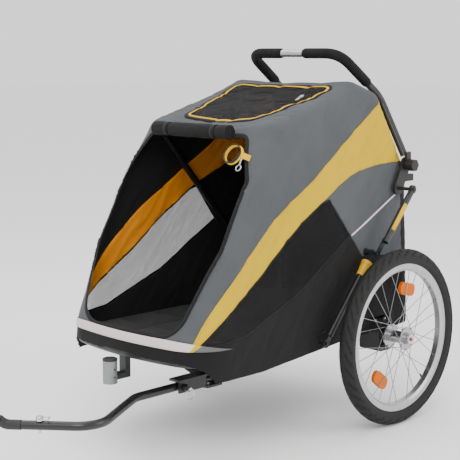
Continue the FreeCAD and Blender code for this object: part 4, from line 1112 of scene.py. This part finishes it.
door_straps = []
for side, sign in SIDES:
    shape = bmesh.new()
    round_it = Matrix.Translation((sign * STRAP_AT, 0, 0)) @ lying
    bmesh.ops.create_cone(shape, cap_ends=False, segments=ROLL_SIDES, radius1=STRAP_RADIUS,
                          radius2=STRAP_RADIUS, depth=STRAP_WIDTH, matrix=round_it)
    bmesh.ops.recalc_face_normals(shape, faces=shape.faces)
    strap = smooth(add_piece(side + "_door_strap", shape, binding_cloth))
    thicken(strap, 1.4 * MM, 1.0)
    door_straps.append(strap)
print("door roll has", len(door.data.polygons), "faces")

# %% [markdown]
# The short safety leash hangs at the opening: three turns of cord, held by a bright tab, with a snap hook
# at its end. The turns are a smooth curve through points on a circle that also climbs, and the tube
# follows that curve.

# %% Leash
COIL_AT = Vector((174.0, -4.319, 783.726)) * MM
COIL_OUT = Vector((0, -0.875677, 0.482898))
COIL_UP = Vector((0, 0.482898, 0.875677))
COIL_RADIUS = 27 * MM
COIL_PITCH = 5.4 * MM
COIL_TURNS = 3
CORD_RADIUS = 2 * MM
POINTS_A_TURN = 16


def coil_point(turns):
    angle = 2 * math.pi * turns
    flat = Vector((1, 0, 0)) * math.cos(angle) + COIL_UP * math.sin(angle)
    return COIL_AT + flat * COIL_RADIUS + COIL_OUT * (COIL_PITCH * (turns - COIL_TURNS / 2))


def cord_with_painted_shade(name, cord_yellow, painted_shade_colour):
    """A braided yellow cord whose outer turns are painted dark, as painted shade."""
    finish = Finish(name, Specular_IOR_Level=0.3)
    x, y, z = finish.axes()
    braid = ((x * 900.0 + y * 700.0).sine() + (z * 1100.0 - y * 500.0).sine()) * 0.5
    outward = y * COIL_OUT.y + z * COIL_OUT.z - COIL_AT.dot(COIL_OUT)
    patches = finish.speckle(60.0, 3.0)
    # Painted shade: turns further out along the coil's axis take the dark second colour.
    turn = outward / (COIL_TURNS * COIL_PITCH) + 0.5 + (patches - 0.5) * 0.15 + braid * 0.04
    finish.feed("Base Color", finish.ramp(turn, (0.60, shade(cord_yellow, 1.0)), (0.68, shade(painted_shade_colour, 1.0))))
    finish.feed("Roughness", 0.7 + braid * 0.1)
    finish.bump(braid, 0.4 * MM, 0.7)
    return finish.material


# The dark second colour is painted shade on the outer turns of a yellow cord.
cord_finish = cord_with_painted_shade("leash_braid", (0.85, 0.48, 0.0), (0.02, 0.02, 0.016))
coil_points = [coil_point(i / POINTS_A_TURN) for i in range(COIL_TURNS * POINTS_A_TURN + 1)]
leash = round_line("leash_cord", coil_points, CORD_RADIUS, cord_finish)
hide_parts("leash_coil")
hook = smooth(add_piece("snap_hook", node_shape("leash_hook"), pin_steel))
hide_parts("leash_hook")
shape = node_shape("leash_tab")
bmesh.ops.dissolve_limit(shape, angle_limit=math.radians(2), verts=shape.verts, edges=shape.edges)
bmesh.ops.bevel(shape, geom=shape.edges, offset=0.5 * MM, affect="EDGES", segments=2, profile=0.5,
                material=-1)
tab = add_piece("leash_strap", shape, zip_yellow)
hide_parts("leash_tab")
print("leash of", COIL_TURNS, "turns")

# %% [markdown]
# The zip's pull lies on the roof's corner: a small bright plate on a slider. Bevelled edges catch the
# light.

# %% Zip pull
PULL_AT = Vector((0.160, 0.2785, 0.9245))
ROOF_TILT = math.atan2(116, 376)
on_roof = Matrix.Translation(PULL_AT) @ Matrix.Rotation(ROOF_TILT, 4, "X")
shape = bmesh.new()
bmesh.ops.create_cube(shape, size=1.0, matrix=on_roof @ Matrix.Diagonal((9 * MM, 13 * MM, 5 * MM, 1)))
plate = on_roof @ Matrix.Translation((3 * MM, -17 * MM, 0)) @ Matrix.Rotation(0.25, 4, "Z")
bmesh.ops.create_cube(shape, size=1.0, matrix=plate @ Matrix.Diagonal((9 * MM, 26 * MM, 1.8 * MM, 1)))
bmesh.ops.bevel(shape, geom=shape.edges, offset=0.7 * MM, affect="EDGES", segments=3, profile=0.5,
                material=-1)
zip_pull = smooth(add_piece("zip_pull", shape, pin_steel))
print("zip pull has", len(zip_pull.data.polygons), "faces")

# %% [markdown]
# Every panel was cut flat before it was sewn. The widths and lengths are rough estimates of the flat cut's
# outer sizes. The hoops stretch each panel, and hardly anything of it is slack.

# %% The sheets
SHEETS = [
    (cover, (1.40, 1.45), [opening_tape, roof_tape, *pipings]),
    (skirt, (2.86, 0.33), [nose_tape]),
    (skylight, (0.37, 0.31), [roof_zip, zip_pull]),
]
SHEETS += [(stripe, (0.19, 1.02), [tape]) for stripe, tape in zip(stripes, stripe_tapes)]
SHEETS += [(window, (0.25, 0.60), [tape]) for window, tape in zip(windows, window_tapes)]
print(len(SHEETS), "sheets declared")

# %% [markdown]
# When the hoops fold, the cabin collapses between them. Here every cloth piece only gets a mesh of its own.

# %% Own meshes for the cloth pieces
soft = [cover, skirt, *stripes, *windows, skylight, nose_tape, door, leash, hook, tab, zip_pull]
soft += tapes + pipings + door_straps
for piece in soft:
    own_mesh(piece)
print(len(soft), "pieces fold with the hoops")
